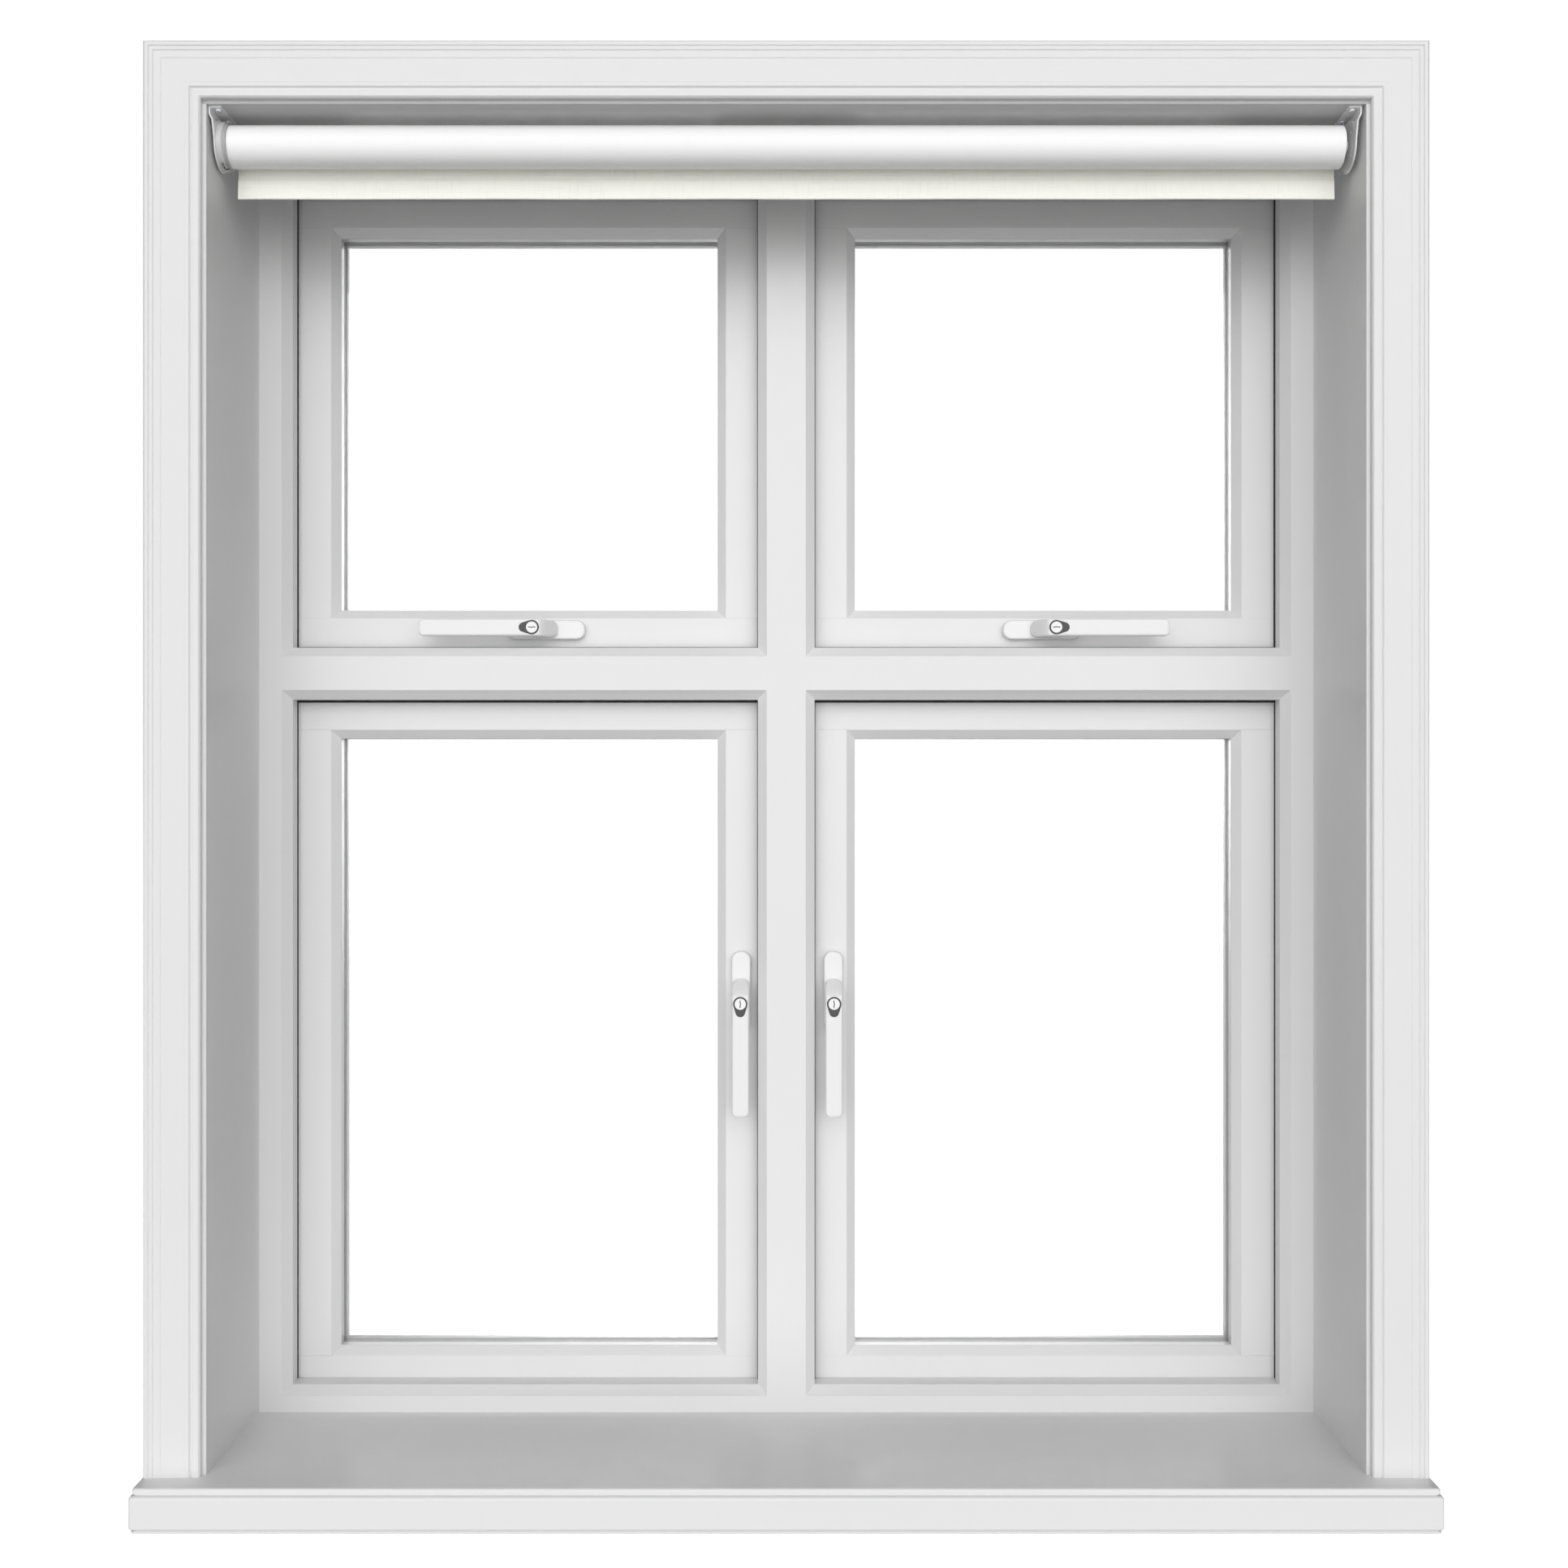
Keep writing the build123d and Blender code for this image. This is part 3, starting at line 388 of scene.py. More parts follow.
PAINTS = {axis: paint("satin_paint_" + axis.lower(), axis, PAINT) for axis in "XYZ"}
# Painted shade: the head lining takes a darker copy of the paint, standing in for shade on the soffit.
SOFFIT_SHADE_PAINT = paint("satin_paint_soffit", "X", shaded(PAINT, SOFFIT_SHADE))
MATERIALS = {
    "glass": clear_glass(),
    "seal": rubber("weather_seal"),
    "steel": plated_steel("zinc_plated_steel", (0.62, 0.63, 0.65), 0.5),
    "hinge_metal": plated_steel("satin_hinge_steel", (0.5, 0.5, 0.51), 0.6),
    "handle_white": powder_coat("handle_enamel", (0.815, 0.815, 0.815), 0.3),
    "button_grey": moulded("button_grey", (0.055, 0.055, 0.057), 0.45),
    "key_white": powder_coat("key_cylinder_white", (0.88, 0.88, 0.88), 0.35),
    "bracket_white": powder_coat("bracket_enamel", (0.8, 0.8, 0.8), 0.3),
    "blind_plastic": moulded("blind_plastic", (0.66, 0.66, 0.66), 0.35),
    "aluminium": mill_aluminium(),
    "fabric_white": woven("cloth_back", (0.965, 0.965, 0.963), 0.98, 0.1, 1.0),
    "fabric_cream": woven("cloth_face", (0.965, 0.965, 0.89), 0.93, 0.25, 0.9),
}


# ---------------------------------------------------------------- mesh helpers
def finish_piece(mesh, name, node, material, smooth=35.0):
    """Make an object of a mesh, give it its finish and let it ride with its node's body."""
    mesh.materials.clear()
    mesh.materials.append(material)
    mesh.shade_smooth()
    mesh.set_sharp_from_angle(angle=math.radians(smooth))
    piece = bpy.data.objects.new(name, mesh)
    bpy.context.scene.collection.objects.link(piece)
    shading = piece.modifiers.new("flat_faces_stay_flat", "WEIGHTED_NORMAL")
    shading.keep_sharp = True
    shading.weight = 100
    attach(piece, BODY_OF[node])
    return piece


def solids(node):
    """A node's solids, each as a clean closed mesh.

    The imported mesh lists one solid's triangles after another, so a solid is complete when
    every edge of its triangles has met its twin.
    """
    data = NODES[node].data
    data.calc_loop_triangles()
    found = []
    bm, corners, open_edges = bmesh.new(), {}, set()
    for triangle in data.loop_triangles:
        points = []
        for i in triangle.vertices:
            key = tuple(round(c / (2 * MICRON)) for c in data.vertices[i].co)
            if key not in corners:
                corners[key] = bm.verts.new(data.vertices[i].co)
            points.append(corners[key])
        if len(set(points)) < 3:
            continue
        bm.faces.new(points)
        for start, end in zip(points, points[1:] + points[:1]):
            if (end, start) in open_edges:
                open_edges.remove((end, start))
            else:
                open_edges.add((start, end))
        if not open_edges:
            flat = math.radians(0.5)
            bmesh.ops.dissolve_limit(bm, angle_limit=flat, verts=bm.verts, edges=bm.edges)
            found.append(bm)
            bm, corners = bmesh.new(), {}
    if open_edges:
        raise ValueError("the mesh of " + node + " has an open solid")
    bm.free()
    return found


SHARP_EDGE = 28.0        # degrees; an edge that turns less than this is part of a curve


def direction(edge):
    return (edge.verts[1].co - edge.verts[0].co).normalized()


def eased(bm, width, segments=2, along=None):
    """Take the sharpness off a mesh's edges, or off only those that run along one axis."""
    sharp = math.radians(SHARP_EDGE)
    corners = [e for e in bm.edges if e.is_manifold and e.calc_face_angle(0.0) > sharp]
    if along is not None:
        corners = [e for e in corners if abs(direction(e)[along]) > 0.99]
    bmesh.ops.bevel(bm, geom=corners, offset=width, offset_type="OFFSET", segments=segments,
                    profile=0.5, affect="EDGES", clamp_overlap=True)


def to_mesh(bm, name):
    mesh = bpy.data.meshes.new(name)
    bm.normal_update()
    bm.to_mesh(mesh)
    bm.free()
    return mesh


def extent(bm):
    low = Vector([min(v.co[i] for v in bm.verts) for i in range(3)])
    high = Vector([max(v.co[i] for v in bm.verts) for i in range(3)])
    return low, high


def side_words(low, high, whole):
    """Where a piece lies within its node, in words for its name."""
    middle, centre = (low + high) / 2, (whole[0] + whole[1]) / 2
    size = high - low
    if size.x >= size.z:
        return "top" if middle.z > centre.z else "bottom"
    return "left" if middle.x < centre.x else "right"


def whole_extent(parts):
    boxes = [extent(part) for part in parts]
    return (Vector([min(box[0][i] for box in boxes) for i in range(3)]),
            Vector([max(box[1][i] for box in boxes) for i in range(3)]))


def timber(node, ease, joints_show=True):
    """A node's timber members, one piece each, with eased arrises and paint along the grain.

    Where the joints don't show, the paint bridges them, and only the arrises along the grain
    are eased.
    """
    parts = solids(node)
    whole = whole_extent(parts)
    names = set()
    for part in parts:
        low, high = extent(part)
        size = high - low
        grain = max(range(3), key=lambda i: size[i])
        name = node + "_wood"
        if len(parts) > 1:
            inner = low.y > whole[0].y + 5 * MM
            name = node + ("_bead_" if inner else "_") + side_words(low, high, whole)
        while name in names:
            name += "_b"
        names.add(name)
        if ease:
            eased(part, ease, along=None if joints_show else grain)
        # The head lining's darker paint is painted shade.
        finish = SOFFIT_SHADE_PAINT if node == "lining_head" else PAINTS["XYZ"[grain]]
        piece = finish_piece(to_mesh(part, name), name, node, finish)
        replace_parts(piece, node)


def part_of(node, ease, name=None, segments=2):
    """A node's own shape with its edges eased."""
    meshes = []
    name = name or node + "_part"
    for part in solids(node):
        if ease:
            eased(part, ease, segments)
        meshes.append(to_mesh(part, name))
    piece = finish_piece(joined(meshes, name), name, node, MATERIALS[SLOT_OF[node]], 40.0)
    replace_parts(piece, node)


def evaluated(holder):
    """A new mesh of an object with its modifiers applied, or of a curve's skin."""
    bpy.context.view_layer.update()
    graph = bpy.context.evaluated_depsgraph_get()
    return bpy.data.meshes.new_from_object(holder.evaluated_get(graph))


def boolean(mesh, cutter, name):
    """One mesh less another."""
    a = bpy.data.objects.new("whole", mesh)
    b = bpy.data.objects.new("cutter", cutter)
    for o in (a, b):
        bpy.context.scene.collection.objects.link(o)
    modifier = a.modifiers.new("cut", "BOOLEAN")
    modifier.operation = "DIFFERENCE"
    modifier.solver = "EXACT"
    modifier.object = b
    result = evaluated(a)
    result.name = name
    for o in (a, b):
        data = o.data
        bpy.data.objects.remove(o)
        bpy.data.meshes.remove(data)
    return result


def rings_to_mesh(rings, name):
    """A closed skin over rings of points, all with the same number of points."""
    bm = bmesh.new()
    rows = [[bm.verts.new(p) for p in ring] for ring in rings]
    count = len(rows[0])
    for a, b in zip(rows, rows[1:]):
        for i in range(count):
            j = (i + 1) % count
            bm.faces.new((a[i], a[j], b[j], b[i]))
    bm.faces.new(rows[0][::-1])
    bm.faces.new(rows[-1])
    bmesh.ops.recalc_face_normals(bm, faces=bm.faces)
    return to_mesh(bm, name)


def lathe(profile, name, steps=40):
    """Turn a profile of (radius, height) round +Z."""
    rings = []
    for radius, height in profile:
        ring = []
        for i in range(steps):
            angle = 2 * math.pi * i / steps
            ring.append((radius * math.cos(angle), radius * math.sin(angle), height))
        rings.append(ring)
    return rings_to_mesh(rings, name)


def box_mesh(low, high, name):
    bm = bmesh.new()
    size = Vector(high) - Vector(low)
    move = Matrix.Translation((Vector(low) + Vector(high)) / 2) @ Matrix.Diagonal((*size, 1.0))
    bmesh.ops.create_cube(bm, size=1.0, matrix=move)
    return to_mesh(bm, name)


def joined(meshes, name):
    bm = bmesh.new()
    for mesh in meshes:
        bm.from_mesh(mesh)
    for mesh in meshes:
        bpy.data.meshes.remove(mesh)
    return to_mesh(bm, name)


# ---------------------------------------------------------------- handles
LEVER_CORNER = 2.6 * MM  # radius along the arm's edges
NECK_CORNER = 4.5 * MM   # and along the neck's
HEEL_ROUND = 7.4 * MM    # radius of the lever's outline at the neck's end
TIP_ROUND = 6.0 * MM     # and at the arm's
ARM_THICKNESS = 11.0 * MM
NECK_START = 4.0 * MM    # height of the neck's heel above the backplate
NECK_END = 4.0 * MM      # along the lever from the spindle to where its front is flat
NECK_CURVE = 1.45        # how much faster the neck climbs at its heel
CRANK = (15.0 * MM, 17.0 * MM)  # where the underside starts to rise, and over what length
BEND = 45.0 * MM         # the stations are closer together up to here
TIP_SAG = (1.2 * MM, 4.0 * MM)  # how much the tip thins, and over what length
LEVER_GAP = 0.3 * MM     # between the backplate and the lever
BUTTON_POINT = 5.4 * MM  # radius of the button's pointed end
BUTTON_RIM = ((0.0, 0.5 * MM), (-0.15 * MM, 0.15 * MM), (-0.5 * MM, 0.0))  # growth, depth
BUTTON_GAP = 0.25 * MM   # between the button and its pocket in the lever
POCKET_DEPTH = 9.5 * MM
KEY_GAP = 0.15 * MM      # round the key barrel
KEY_FLOOR = 0.1 * MM     # and under it
KEY_RIM = ((0.0, 0.35 * MM), (0.1 * MM, 0.1 * MM), (0.35 * MM, 0.0))  # off the radius, depth
KEY_SLOT = 1.05 * MM
KEY_WAVE = ((-4.3, -0.15), (-2.0, -0.2), (-0.6, 0.3), (0.4, 0.45), (1.6, -0.1), (4.3, -0.2))
KEY_SHADOW = (1.6 * MM, 1.1 * MM)  # where the dark sheet of painted shade lies in the slot, below its mouth
SPINDLE_CORNER = 4.6 * MM  # the 7 mm square's corners are turned down to this radius
SPINDLE_LEAN = 4.5       # degrees either side of a corner that the turned part covers
PINION = 7.1 * MM
PINION_DEPTH = (15.0 * MM, 9.0 * MM)  # below the sash's face, inside the sash's pocket
OVERCUT = 1 * MM         # how far a cutter reaches past what it cuts


def smooth_step(t):
    t = min(max(t, 0.0), 1.0)
    return t * t * (3 - 2 * t)


def rounded_ring(along, half, low, high, corner):
    """A rounded rectangle across the lever at one place along it."""
    steps = 6
    corner = min(corner, half * 0.98, (high - low) * 0.48)
    ring = []
    for cx, cz, start in ((1, 1, 0), (-1, 1, 90), (-1, -1, 180), (1, -1, 270)):
        x0, z0 = cx * (half - corner), (high - corner if cz > 0 else low + corner)
        for i in range(steps + 1):
            angle = math.radians(start + 90 * i / steps)
            ring.append((along, x0 + corner * math.cos(angle), z0 + corner * math.sin(angle)))
    return ring


def rounded_end(half, radius, distance):
    """Half the width of a bar at a distance from its rounded end."""
    if distance >= radius:
        return half
    return half - radius + math.sqrt(max(radius**2 - (radius - distance)**2, 0))


def lever_stations(heel, tip):
    """The places along the lever where it has a ring, closest together at its rounded ends."""
    steps, neck_steps, arm_steps = 14, 40, 30
    quarter = [math.pi / 2 * i / steps for i in range(steps + 1)]
    neck, arm = -heel + HEEL_ROUND, tip - TIP_ROUND
    places = [-heel + HEEL_ROUND * (1 - math.cos(turn)) for turn in quarter]
    places += [neck + (BEND - (HEEL_ROUND - heel)) * i / neck_steps for i in range(1, neck_steps)]
    places += [BEND + (arm - BEND) * i / arm_steps for i in range(1, arm_steps)]
    return places + [arm + TIP_ROUND * math.sin(turn) for turn in quarter]


def lever_mesh(heel, tip, half_width, base, height):
    """The cranked lever: a neck that climbs from the backplate to a flat arm."""
    under = height - ARM_THICKNESS
    start = base + NECK_START
    rings = []
    for x in lever_stations(heel, tip):
        from_tip = tip - x
        half = min(rounded_end(half_width, HEEL_ROUND, x + heel),
                   rounded_end(half_width, TIP_ROUND, from_tip))
        climb = min((x + heel) / (NECK_END + heel), 1.0)
        high = start + (height - start) * (1 - (1 - climb) ** NECK_CURVE)
        corner = LEVER_CORNER + (NECK_CORNER - LEVER_CORNER) * (1 - smooth_step(climb)) ** 1.5
        low = base + (under - base) * smooth_step((x - CRANK[0]) / CRANK[1])
        sag = TIP_SAG[0] * max(0.0, 1 - from_tip / TIP_SAG[1]) ** 2
        rings.append(rounded_ring(x, half, low + sag, min(high, height) - sag, corner))
    return rings_to_mesh(rings, "lever")


def handle_matrix(name):
    """From the handle's own axes (along the lever, across it, off the sash) to the row's."""
    low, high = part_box("handle_plate_" + name)
    middle = (low + high) / 2
    origin = Vector((middle.x, high.y, middle.z))
    if name.startswith("upper"):
        along = Vector((-1, 0, 0)) if name.endswith("left") else Vector((1, 0, 0))
    else:
        along = Vector((0, 0, -1))
    off = Vector((0, -1, 0))
    across = off.cross(along)
    turn = Matrix((along, across, off)).transposed().to_4x4()
    return Matrix.Translation(origin) @ turn


def teardrop(disc, point, grow):
    """The button's outline: a disc and a smaller round end, joined by their tangents."""
    steps = 40
    (x0, r0), (x1, r1) = disc, point
    lean = math.acos((r0 - r1) / abs(x1 - x0))
    ring = []
    for i in range(steps + 1):
        angle = lean + (2 * math.pi - 2 * lean) * i / steps
        ring.append((x0 + (r0 + grow) * math.cos(angle), (r0 + grow) * math.sin(angle)))
    for i in range(steps // 2 + 1):
        angle = -lean + 2 * lean * i / (steps // 2)
        ring.append((x1 + (r1 + grow) * math.cos(angle), (r1 + grow) * math.sin(angle)))
    return ring


def prism(levels, name):
    """A closed skin over outlines, each given as its ring of points and its height."""
    return rings_to_mesh([[(x, y, z) for x, y in ring] for ring, z in levels], name)


def in_handle(matrix, node):
    """A node's box in the handle's own axes."""
    inverse = matrix.inverted()
    points = [inverse @ v.co for v in NODES[node].data.vertices]
    low = Vector([min(p[i] for p in points) for i in range(3)])
    high = Vector([max(p[i] for p in points) for i in range(3)])
    return low, high


def make_button(name, matrix):
    """The press button with its eased rim, and the key barrel with its wavy slot."""
    node = "lock_button_" + name
    low, high = in_handle(matrix, node)
    wide = (high.y - low.y) / 2
    disc = (low.x + wide, wide)
    point = (high.x - BUTTON_POINT, BUTTON_POINT)
    key_low, key_high = in_handle(matrix, "key_cylinder_" + name)
    key = ((key_low.x + key_high.x) / 2, (key_high.y - key_low.y) / 2)
    levels = [(teardrop(disc, point, 0.0), low.z)]
    levels += [(teardrop(disc, point, grow), high.z - depth) for grow, depth in BUTTON_RIM]
    solid = prism(levels, "button_" + name)
    around = key[1] + KEY_GAP
    bore = lathe([(around, key_low.z - KEY_FLOOR), (around, high.z + OVERCUT)], "bore", 64)
    bore.transform(Matrix.Translation((key[0], 0, 0)))
    solid = boolean(solid, bore, "button_" + name)
    solid.transform(matrix)
    button = finish_piece(solid, "button_" + name, node, MATERIALS["button_grey"], 32.0)
    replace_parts(button, node)
    make_key(name, matrix, key, key_low.z, key_high.z)
    return disc, point


def make_key(name, matrix, key, bottom, top):
    """The key barrel. Its slot lies along the lever with a small wave, as the key's section has."""
    node = "key_cylinder_" + name
    profile = [(key[1], bottom)] + [(key[1] - less, top - depth) for less, depth in KEY_RIM]
    barrel = lathe(profile, "key_barrel_" + name, 64)
    half = KEY_SLOT / 2
    ring = [(x * MM, y * MM - half) for x, y in KEY_WAVE]
    ring += [(x * MM, y * MM + half) for x, y in KEY_WAVE[::-1]]
    slot = prism([(ring, top - 3 * MM), (ring, top + OVERCUT)], "slot")
    barrel = boolean(barrel, slot, "key_barrel_" + name)
    # Painted shade: a dark sheet inside the slot stands in for the shade at its bottom.
    shadow = prism([(ring, top - depth) for depth in KEY_SHADOW], "key_slot_" + name)
    place = matrix @ Matrix.Translation((key[0], 0, 0))
    for mesh in (barrel, shadow):
        mesh.transform(place)
    key_piece = finish_piece(barrel, "key_barrel_" + name, node, MATERIALS["key_white"], 32.0)
    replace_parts(key_piece, node)
    finish_piece(shadow, "key_slot_" + name, node, KEYWAY_DARK, 32.0)


def spindle_mesh(top):
    """The square bar from inside the lever down to its pinion."""
    ring = []
    for quarter in range(4):
        for lean in (-SPINDLE_LEAN, 0.0, SPINDLE_LEAN):
            angle = math.radians(45 + 90 * quarter + lean)
            ring.append((SPINDLE_CORNER * math.cos(angle), SPINDLE_CORNER * math.sin(angle)))
    bottom, shoulder = (-depth for depth in PINION_DEPTH)
    bar = prism([(ring, shoulder), (ring, top)], "spindle")
    return joined([bar, lathe([(PINION, bottom), (PINION, shoulder)], "pinion")], "spindle")


def make_handle(name):
    node = "handle_lever_" + name
    matrix = handle_matrix(name)
    low, high = in_handle(matrix, node)
    heel, tip, half, height = -low.x, high.x, high.y, high.z
    plate_low, plate_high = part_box("handle_plate_" + name)
    base = (plate_high.y - plate_low.y) + LEVER_GAP
    mesh = lever_mesh(heel, tip, half, base, height)
    disc, point = make_button(name, matrix)
    outline = teardrop(disc, point, BUTTON_GAP)
    pocket = prism([(outline, height - POCKET_DEPTH), (outline, height + 4 * MM)], "pocket")
    mesh = boolean(mesh, pocket, "lever_" + name)
    spindle = spindle_mesh(base + 1 * MM)
    for part in (mesh, spindle):
        part.transform(matrix)
    lever = finish_piece(mesh, "lever_" + name, node, MATERIALS["handle_white"], 32.0)
    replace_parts(lever, node)
    bar = finish_piece(spindle, "spindle_" + name, node, MATERIALS["steel"], 30.0)
    part_of("handle_plate_" + name, 0.0, "backplate_" + name)


# ---------------------------------------------------------------- hinges
SCREW_INSET = 12.0 * MM  # from the end of a leaf to the middle of a screw
SCREW_HEAD = 3.9 * MM
SCREW_PROFILE = ((0.001, -1.2), (0.8, -1.2), (1.0, -0.2), (1.0, 0.15), (0.93, 0.45), (0.6, 0.75),
                 (0.001, 0.85))  # parts of the head's radius, and millimetres off the leaf
RECESS = (2.2 * MM, 0.42 * MM)  # half the length and half the width of an arm of the cross
KNUCKLE = 4.5 * MM
LEAF_THICKNESS = 2.5 * MM
LEAST_LEAF = 20 * MM     # solids that are narrower than this are pins
PINS = [Vector(j["pos_m"]) for j in frame["joints"] if j["name"].startswith("sash_open")]


def screw_head_mesh():
    """A countersunk head that stands a little proud, with a cross recess. It faces +Z."""
    profile = [(share * SCREW_HEAD, height * MM) for share, height in SCREW_PROFILE]
    head = lathe(profile, "screw_head", 28)
    for x, y in (RECESS, RECESS[::-1]):
        arm = box_mesh((-x, -y, -0.4 * MM), (x, y, 2 * MM), "recess")
        head = boolean(head, arm, "screw_head")
    return head


SCREW = screw_head_mesh()


def screws_at(places, facing, name, node):
    """Screw heads at some places, all facing one way, as one piece."""
    turn = facing.to_track_quat("Z", "Y").to_matrix().to_4x4()
    meshes = []
    for i, place in enumerate(places):
        copy = SCREW.copy()
        spin = Matrix.Rotation(math.radians(17 + 41 * i), 4, "Z")
        copy.transform(Matrix.Translation(place) @ turn @ spin)
        meshes.append(copy)
    piece = finish_piece(joined(meshes, name), name, node, MATERIALS["steel"], 30.0)


def leaf_screws(node, name):
    """Two screws in each leaf of a hinge node, near the ends of its plate."""
    places = []
    for part in solids(node):
        low, high = extent(part)
        part.free()
        size = high - low
        if min(size.x, size.z) < LEAST_LEAF:
            continue
        upright = size.z > size.x
        plate = plate_middle(low, high)
        plate.y = low.y + LEAF_THICKNESS
        for end in (-1, 1):
            reach = end * ((size.z if upright else size.x) / 2 - SCREW_INSET)
            places.append(plate + Vector((0, 0, reach) if upright else (reach, 0, 0)))
    screws_at(places, Vector((0, 1, 0)), name, node)


def plate_middle(low, high):
    """The middle of a leaf's flat plate, half a knuckle further from its pin."""
    middle, size = (low + high) / 2, high - low
    shift = KNUCKLE / 2
    if size.z > size.x:
        pin = min(PINS, key=lambda p: abs(p.x - middle.x))
        return middle + Vector((math.copysign(shift, middle.x - pin.x), 0, 0))
    pin = min(PINS, key=lambda p: abs(p.z - middle.z))
    return middle + Vector((0, 0, math.copysign(shift, middle.z - pin.z)))


# ---------------------------------------------------------------- glazing
def make_glazing(name):
    """The panes and the dark spacer between them as separate pieces."""
    node = "glazing_unit_" + name
    panes = []
    for part in solids(node):
        if len(part.verts) == 8:
            panes.append((extent(part)[0].y, part))
            continue
        eased(part, 0.3 * MM)
        spacer = finish_piece(to_mesh(part, "spacer_" + name), "spacer_" + name, node, SPACER)
        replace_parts(spacer, node)
    panes.sort(key=lambda pair: pair[0])
    for (_, part), side in zip(panes, ("inner", "outer")):
        eased(part, 0.25 * MM, 1)
        label = "pane_" + side + "_" + name
        pane = finish_piece(to_mesh(part, label), label, node, MATERIALS["glass"])
        pane.visible_diffuse = False
        pane.visible_shadow = False
        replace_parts(pane, node)


# ---------------------------------------------------------------- weather seals
SEAL_MARGIN = 8.0 * MM   # from an opening's edge to the outer edge of its seal
MULLION_LIP = 1.0 * MM   # how far a seal's lip stands into the opening beside the mullion
HEAD_LIP = 0.9 * MM      # the same under the head
SEAL_LEFT = -0.1         # a seal that starts further left than this is a left-hand one
SEAL_UPPER = 1.2         # a seal that reaches higher than this is an upper one


def seals():
    """The seals with the lips of their runs pressed to the sashes: slim by the head."""
    node = "frame_seals"
    meshes = []
    for part in solids(node):
        low, high = extent(part)
        at_left = low.x < SEAL_LEFT
        stop = high.x - SEAL_MARGIN if at_left else low.x + SEAL_MARGIN
        lip = stop - MULLION_LIP if at_left else stop + MULLION_LIP
        upper = high.z > SEAL_UPPER
        for v in part.verts:
            if abs(v.co.x - stop) < 0.8 * MM:
                v.co.x = lip
            if upper and abs(v.co.z - (high.z - SEAL_MARGIN)) < 3 * MM:
                v.co.z = high.z - SEAL_MARGIN - HEAD_LIP
        eased(part, 0.25 * MM)
        meshes.append(to_mesh(part, "weather_seals"))
    mesh = joined(meshes, "weather_seals")
    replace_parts(finish_piece(mesh, "weather_seals", node, MATERIALS["seal"], 40.0), node)


# ---------------------------------------------------------------- roller blind
CLOTH_PITCH = 0.33 * MM  # so that the roll holds all the cloth that the blind lets down
HEM_GAP = 0.35 * MM      # between the bar and the cloth of its pocket
STITCHING = 2.5 * MM     # above the bar
HANG_FORWARD = 1.6 * MM  # how far the cloth leans towards the room at its hem
RIPPLE = 0.35 * MM
GUIDE_PATH = ((4.2, -24.6), (4.6, -26.2), (6.4, -27.0), (8.6, -27.0), (9.6, -26.4))  # in mm


def fill_rows(bm, rows):
    """The quads of an open sheet between rows of points."""
    for a, b in zip(rows, rows[1:]):
        for j in range(len(a) - 1):
            bm.faces.new((a[j], a[j + 1], b[j + 1], b[j]))


def wound_cloth():
    """The cloth on the tube, a spiral of its real length."""
    low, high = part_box("blind_wound_fabric")
    tube_low, tube_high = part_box("blind_tube")
    middle = (low + high) / 2
    outer = (high.z - low.z) / 2 - 0.15 * MM
    inner = (tube_high.z - tube_low.z) / 2 + 0.2 * MM
    turns = (outer - inner) / CLOTH_PITCH
    count = int(turns * 72)
    columns = 24
    bm = bmesh.new()
    rows = []
    for i in range(count + 1):
        share = i / count
        radius = inner + (outer - inner) * share
        angle = 2 * math.pi * turns * (share - 1)
        y, z = middle.y + radius * math.cos(angle), middle.z + radius * math.sin(angle)
        across = [low.x + (high.x - low.x) * j / columns for j in range(columns + 1)]
        rows.append([bm.verts.new((x, y, z)) for x in across])
    fill_rows(bm, rows)
    node = "blind_wound_fabric"
    mesh = to_mesh(bm, "wound_cloth")
    piece = finish_piece(mesh, "wound_cloth", node, MATERIALS["fabric_white"], 60.0)
    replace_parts(piece, node)


def hanging_cloth():
    """The cloth from the back of the roll down to its hem, and the pocket round the bar."""
    node = "blind_fabric_drop"
    low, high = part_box(node)
    bar_low, bar_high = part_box("blind_bottom_bar")
    plane = (low.y + high.y) / 2
    gap = (bar_high.y - bar_low.y) / 2 + HEM_GAP
    columns = 160
    # The section from the roll down, round under the bar and up again to the hem's stitching.
    section = []
    stitch = bar_high.z + STITCHING
    rows_down = 26
    for i in range(rows_down + 1):
        z = high.z - (high.z - stitch) * i / rows_down
        section.append((0.0, z))
    steps = 18
    for i in range(1, steps):
        z = stitch - (stitch - low.z - gap) * i / steps
        bulge = gap * math.sin(math.pi / 2 * min(1.0, i / 4))
        section.append((-bulge, z))
    for i in range(13):
        angle = math.pi * i / 12
        section.append((-gap * math.cos(angle), low.z + gap - gap * math.sin(angle)))
    for i in range(1, steps + 1):
        z = low.z + gap + (stitch - low.z - gap) * i / steps
        bulge = gap * math.sin(math.pi / 2 * min(1.0, (steps - i) / 4)) + 0.25 * MM
        section.append((bulge, z))
    bm = bmesh.new()
    rows = []
    for offset, z in section:
        row = []
        fall = (high.z - z) / (high.z - low.z)
        for j in range(columns + 1):
            x = low.x + (high.x - low.x) * j / columns
            # Cloth kept on a roll hangs a little forward and ripples by a fraction of a millimetre.
            ripple = RIPPLE * fall * (math.sin(x * 23.0) + 0.6 * math.sin(x * 51.0 + 1.3))
            row.append(bm.verts.new((x, plane + offset - HANG_FORWARD * fall**2 + ripple, z)))
        rows.append(row)
    fill_rows(bm, rows)
    mesh = to_mesh(bm, "hanging_cloth")
    mesh.materials.append(MATERIALS["fabric_cream"])
    mesh.shade_smooth()
    piece = bpy.data.objects.new("hanging_cloth", mesh)
    bpy.context.scene.collection.objects.link(piece)
    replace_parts(piece, node)
    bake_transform(piece)


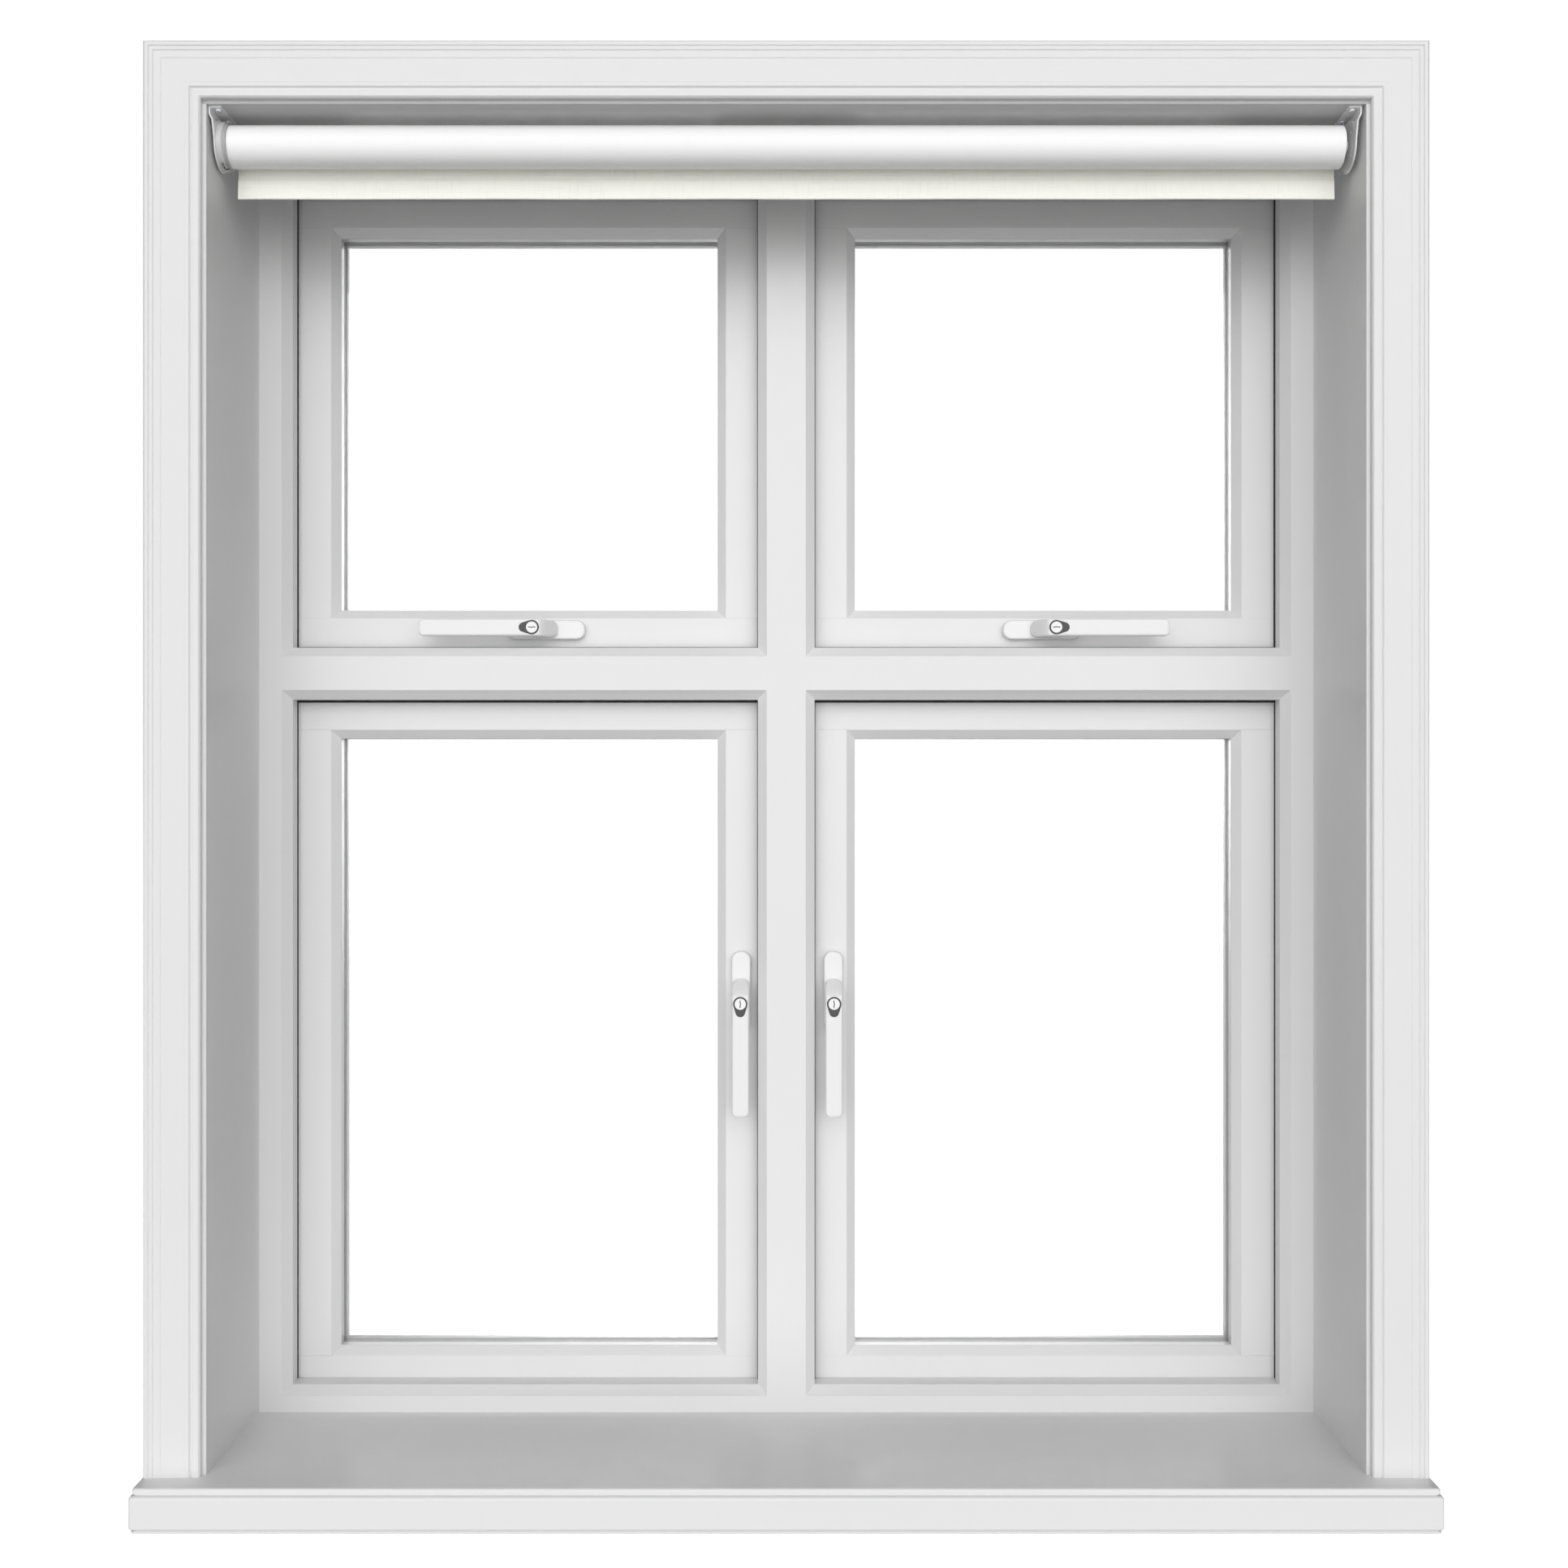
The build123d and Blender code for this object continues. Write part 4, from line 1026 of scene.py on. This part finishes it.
def drive_control():
    """The side control: its disc and hub, with the dark hooked guide in its outlet."""
    node = "blind_drive_housing"
    part_of(node, 0.3 * MM)
    low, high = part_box(node)
    roll_low, roll_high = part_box("blind_wound_fabric")
    middle = (roll_low + roll_high) / 2
    radius = (high.z - low.z) / 2
    centre_z = (high.z + low.z) / 2
    inner, outer, width = radius - 2.2 * MM, radius - 1.2 * MM, 2.4 * MM
    ring = lathe([(inner, 0.0), (outer, 0.0), (outer, width), (inner, width)], "drive_ring", 72)
    place = Matrix.Translation((low.x + 7.4 * MM, middle.y, centre_z))
    ring.transform(place @ Matrix.Rotation(math.pi / 2, 4, "Y"))
    finish_piece(ring, "drive_ring", node, RING_GREY, 40.0)
    # The guide starts in the outlet and turns up in front of the hub.
    data = bpy.data.curves.new("guide", "CURVE")
    data.dimensions = "3D"
    data.bevel_depth = 0.55 * MM
    data.bevel_resolution = 3
    data.use_fill_caps = True
    spline = data.splines.new("NURBS")
    spline.points.add(len(GUIDE_PATH) - 1)
    for point, (x, z) in zip(spline.points, GUIDE_PATH):
        point.co = (low.x + x * MM, middle.y - 9 * MM, centre_z + z * MM, 1.0)
    spline.order_u = 3
    spline.use_endpoint_u = True
    holder = bpy.data.objects.new("guide", data)
    bpy.context.scene.collection.objects.link(holder)
    mesh = evaluated(holder)
    bpy.data.objects.remove(holder)
    finish_piece(mesh, "drive_guide", node, KEYWAY_DARK, 60.0)


# ---------------------------------------------------------------- build
SPACER = moulded("spacer_grey", (0.4, 0.4, 0.405), 0.5)
KEYWAY_DARK = moulded("keyway_shadow", (0.01, 0.01, 0.01), 0.8)
RING_GREY = moulded("ring_grey", (0.42, 0.42, 0.425), 0.4)
# Millimetres taken off the arrises of each timber node.
EASE = {"frame_head": 0.4, "frame_cill": 0.4, "transom": 0.4, "frame_jamb_left": 0.4,
        "frame_jamb_right": 0.4, "mullions": 0.4, "architrave_head": 0.25,
        "architrave_left": 0.25, "architrave_right": 0.25, "window_board": 0.0,
        "lining_head": 0.5, "lining_sides": 0.5}

make_camera()
make_world()
make_floor(studio_floor())

for node, ease in EASE.items():
    timber(node, ease * MM, joints_show=False)
for name in SASHES:
    timber("sash_" + name, 0.45 * MM)
    make_glazing(name)
    make_handle(name)
    part_of("hinge_sash_leaves_" + name, 0.3 * MM)
    leaf_screws("hinge_sash_leaves_" + name, "hinge_screws_" + name)
part_of("hinge_frame_leaves", 0.3 * MM)
leaf_screws("hinge_frame_leaves", "hinge_screws_frame")
seals()
part_of("blind_brackets", 0.3 * MM)
part_of("bracket_screws", 0.1 * MM, segments=1)
drive_control()
wound_cloth()
hanging_cloth()

# Nodes whose own shape is shown take their finish from the same materials.
for name, node in NODES.items():
    if not node.hide_render:
        for slot in node.material_slots:
            slot.material = MATERIALS[SLOT_OF[name]]

# The side that faces outdoors has a lamp of its own, which leaves the room side alone.
OUTDOORS = ("frame_", "transom", "mullions", "sash_", "hinge_", "spacer_", "architrave_",
            "hanging_cloth")
outdoors = [o for o in bpy.data.objects if o.type == "MESH" and o.name.startswith(OUTDOORS)]
lamp_for(outdoors, "back_light", BACK_LIGHT, (0, 1, 0.12), shadows=True)
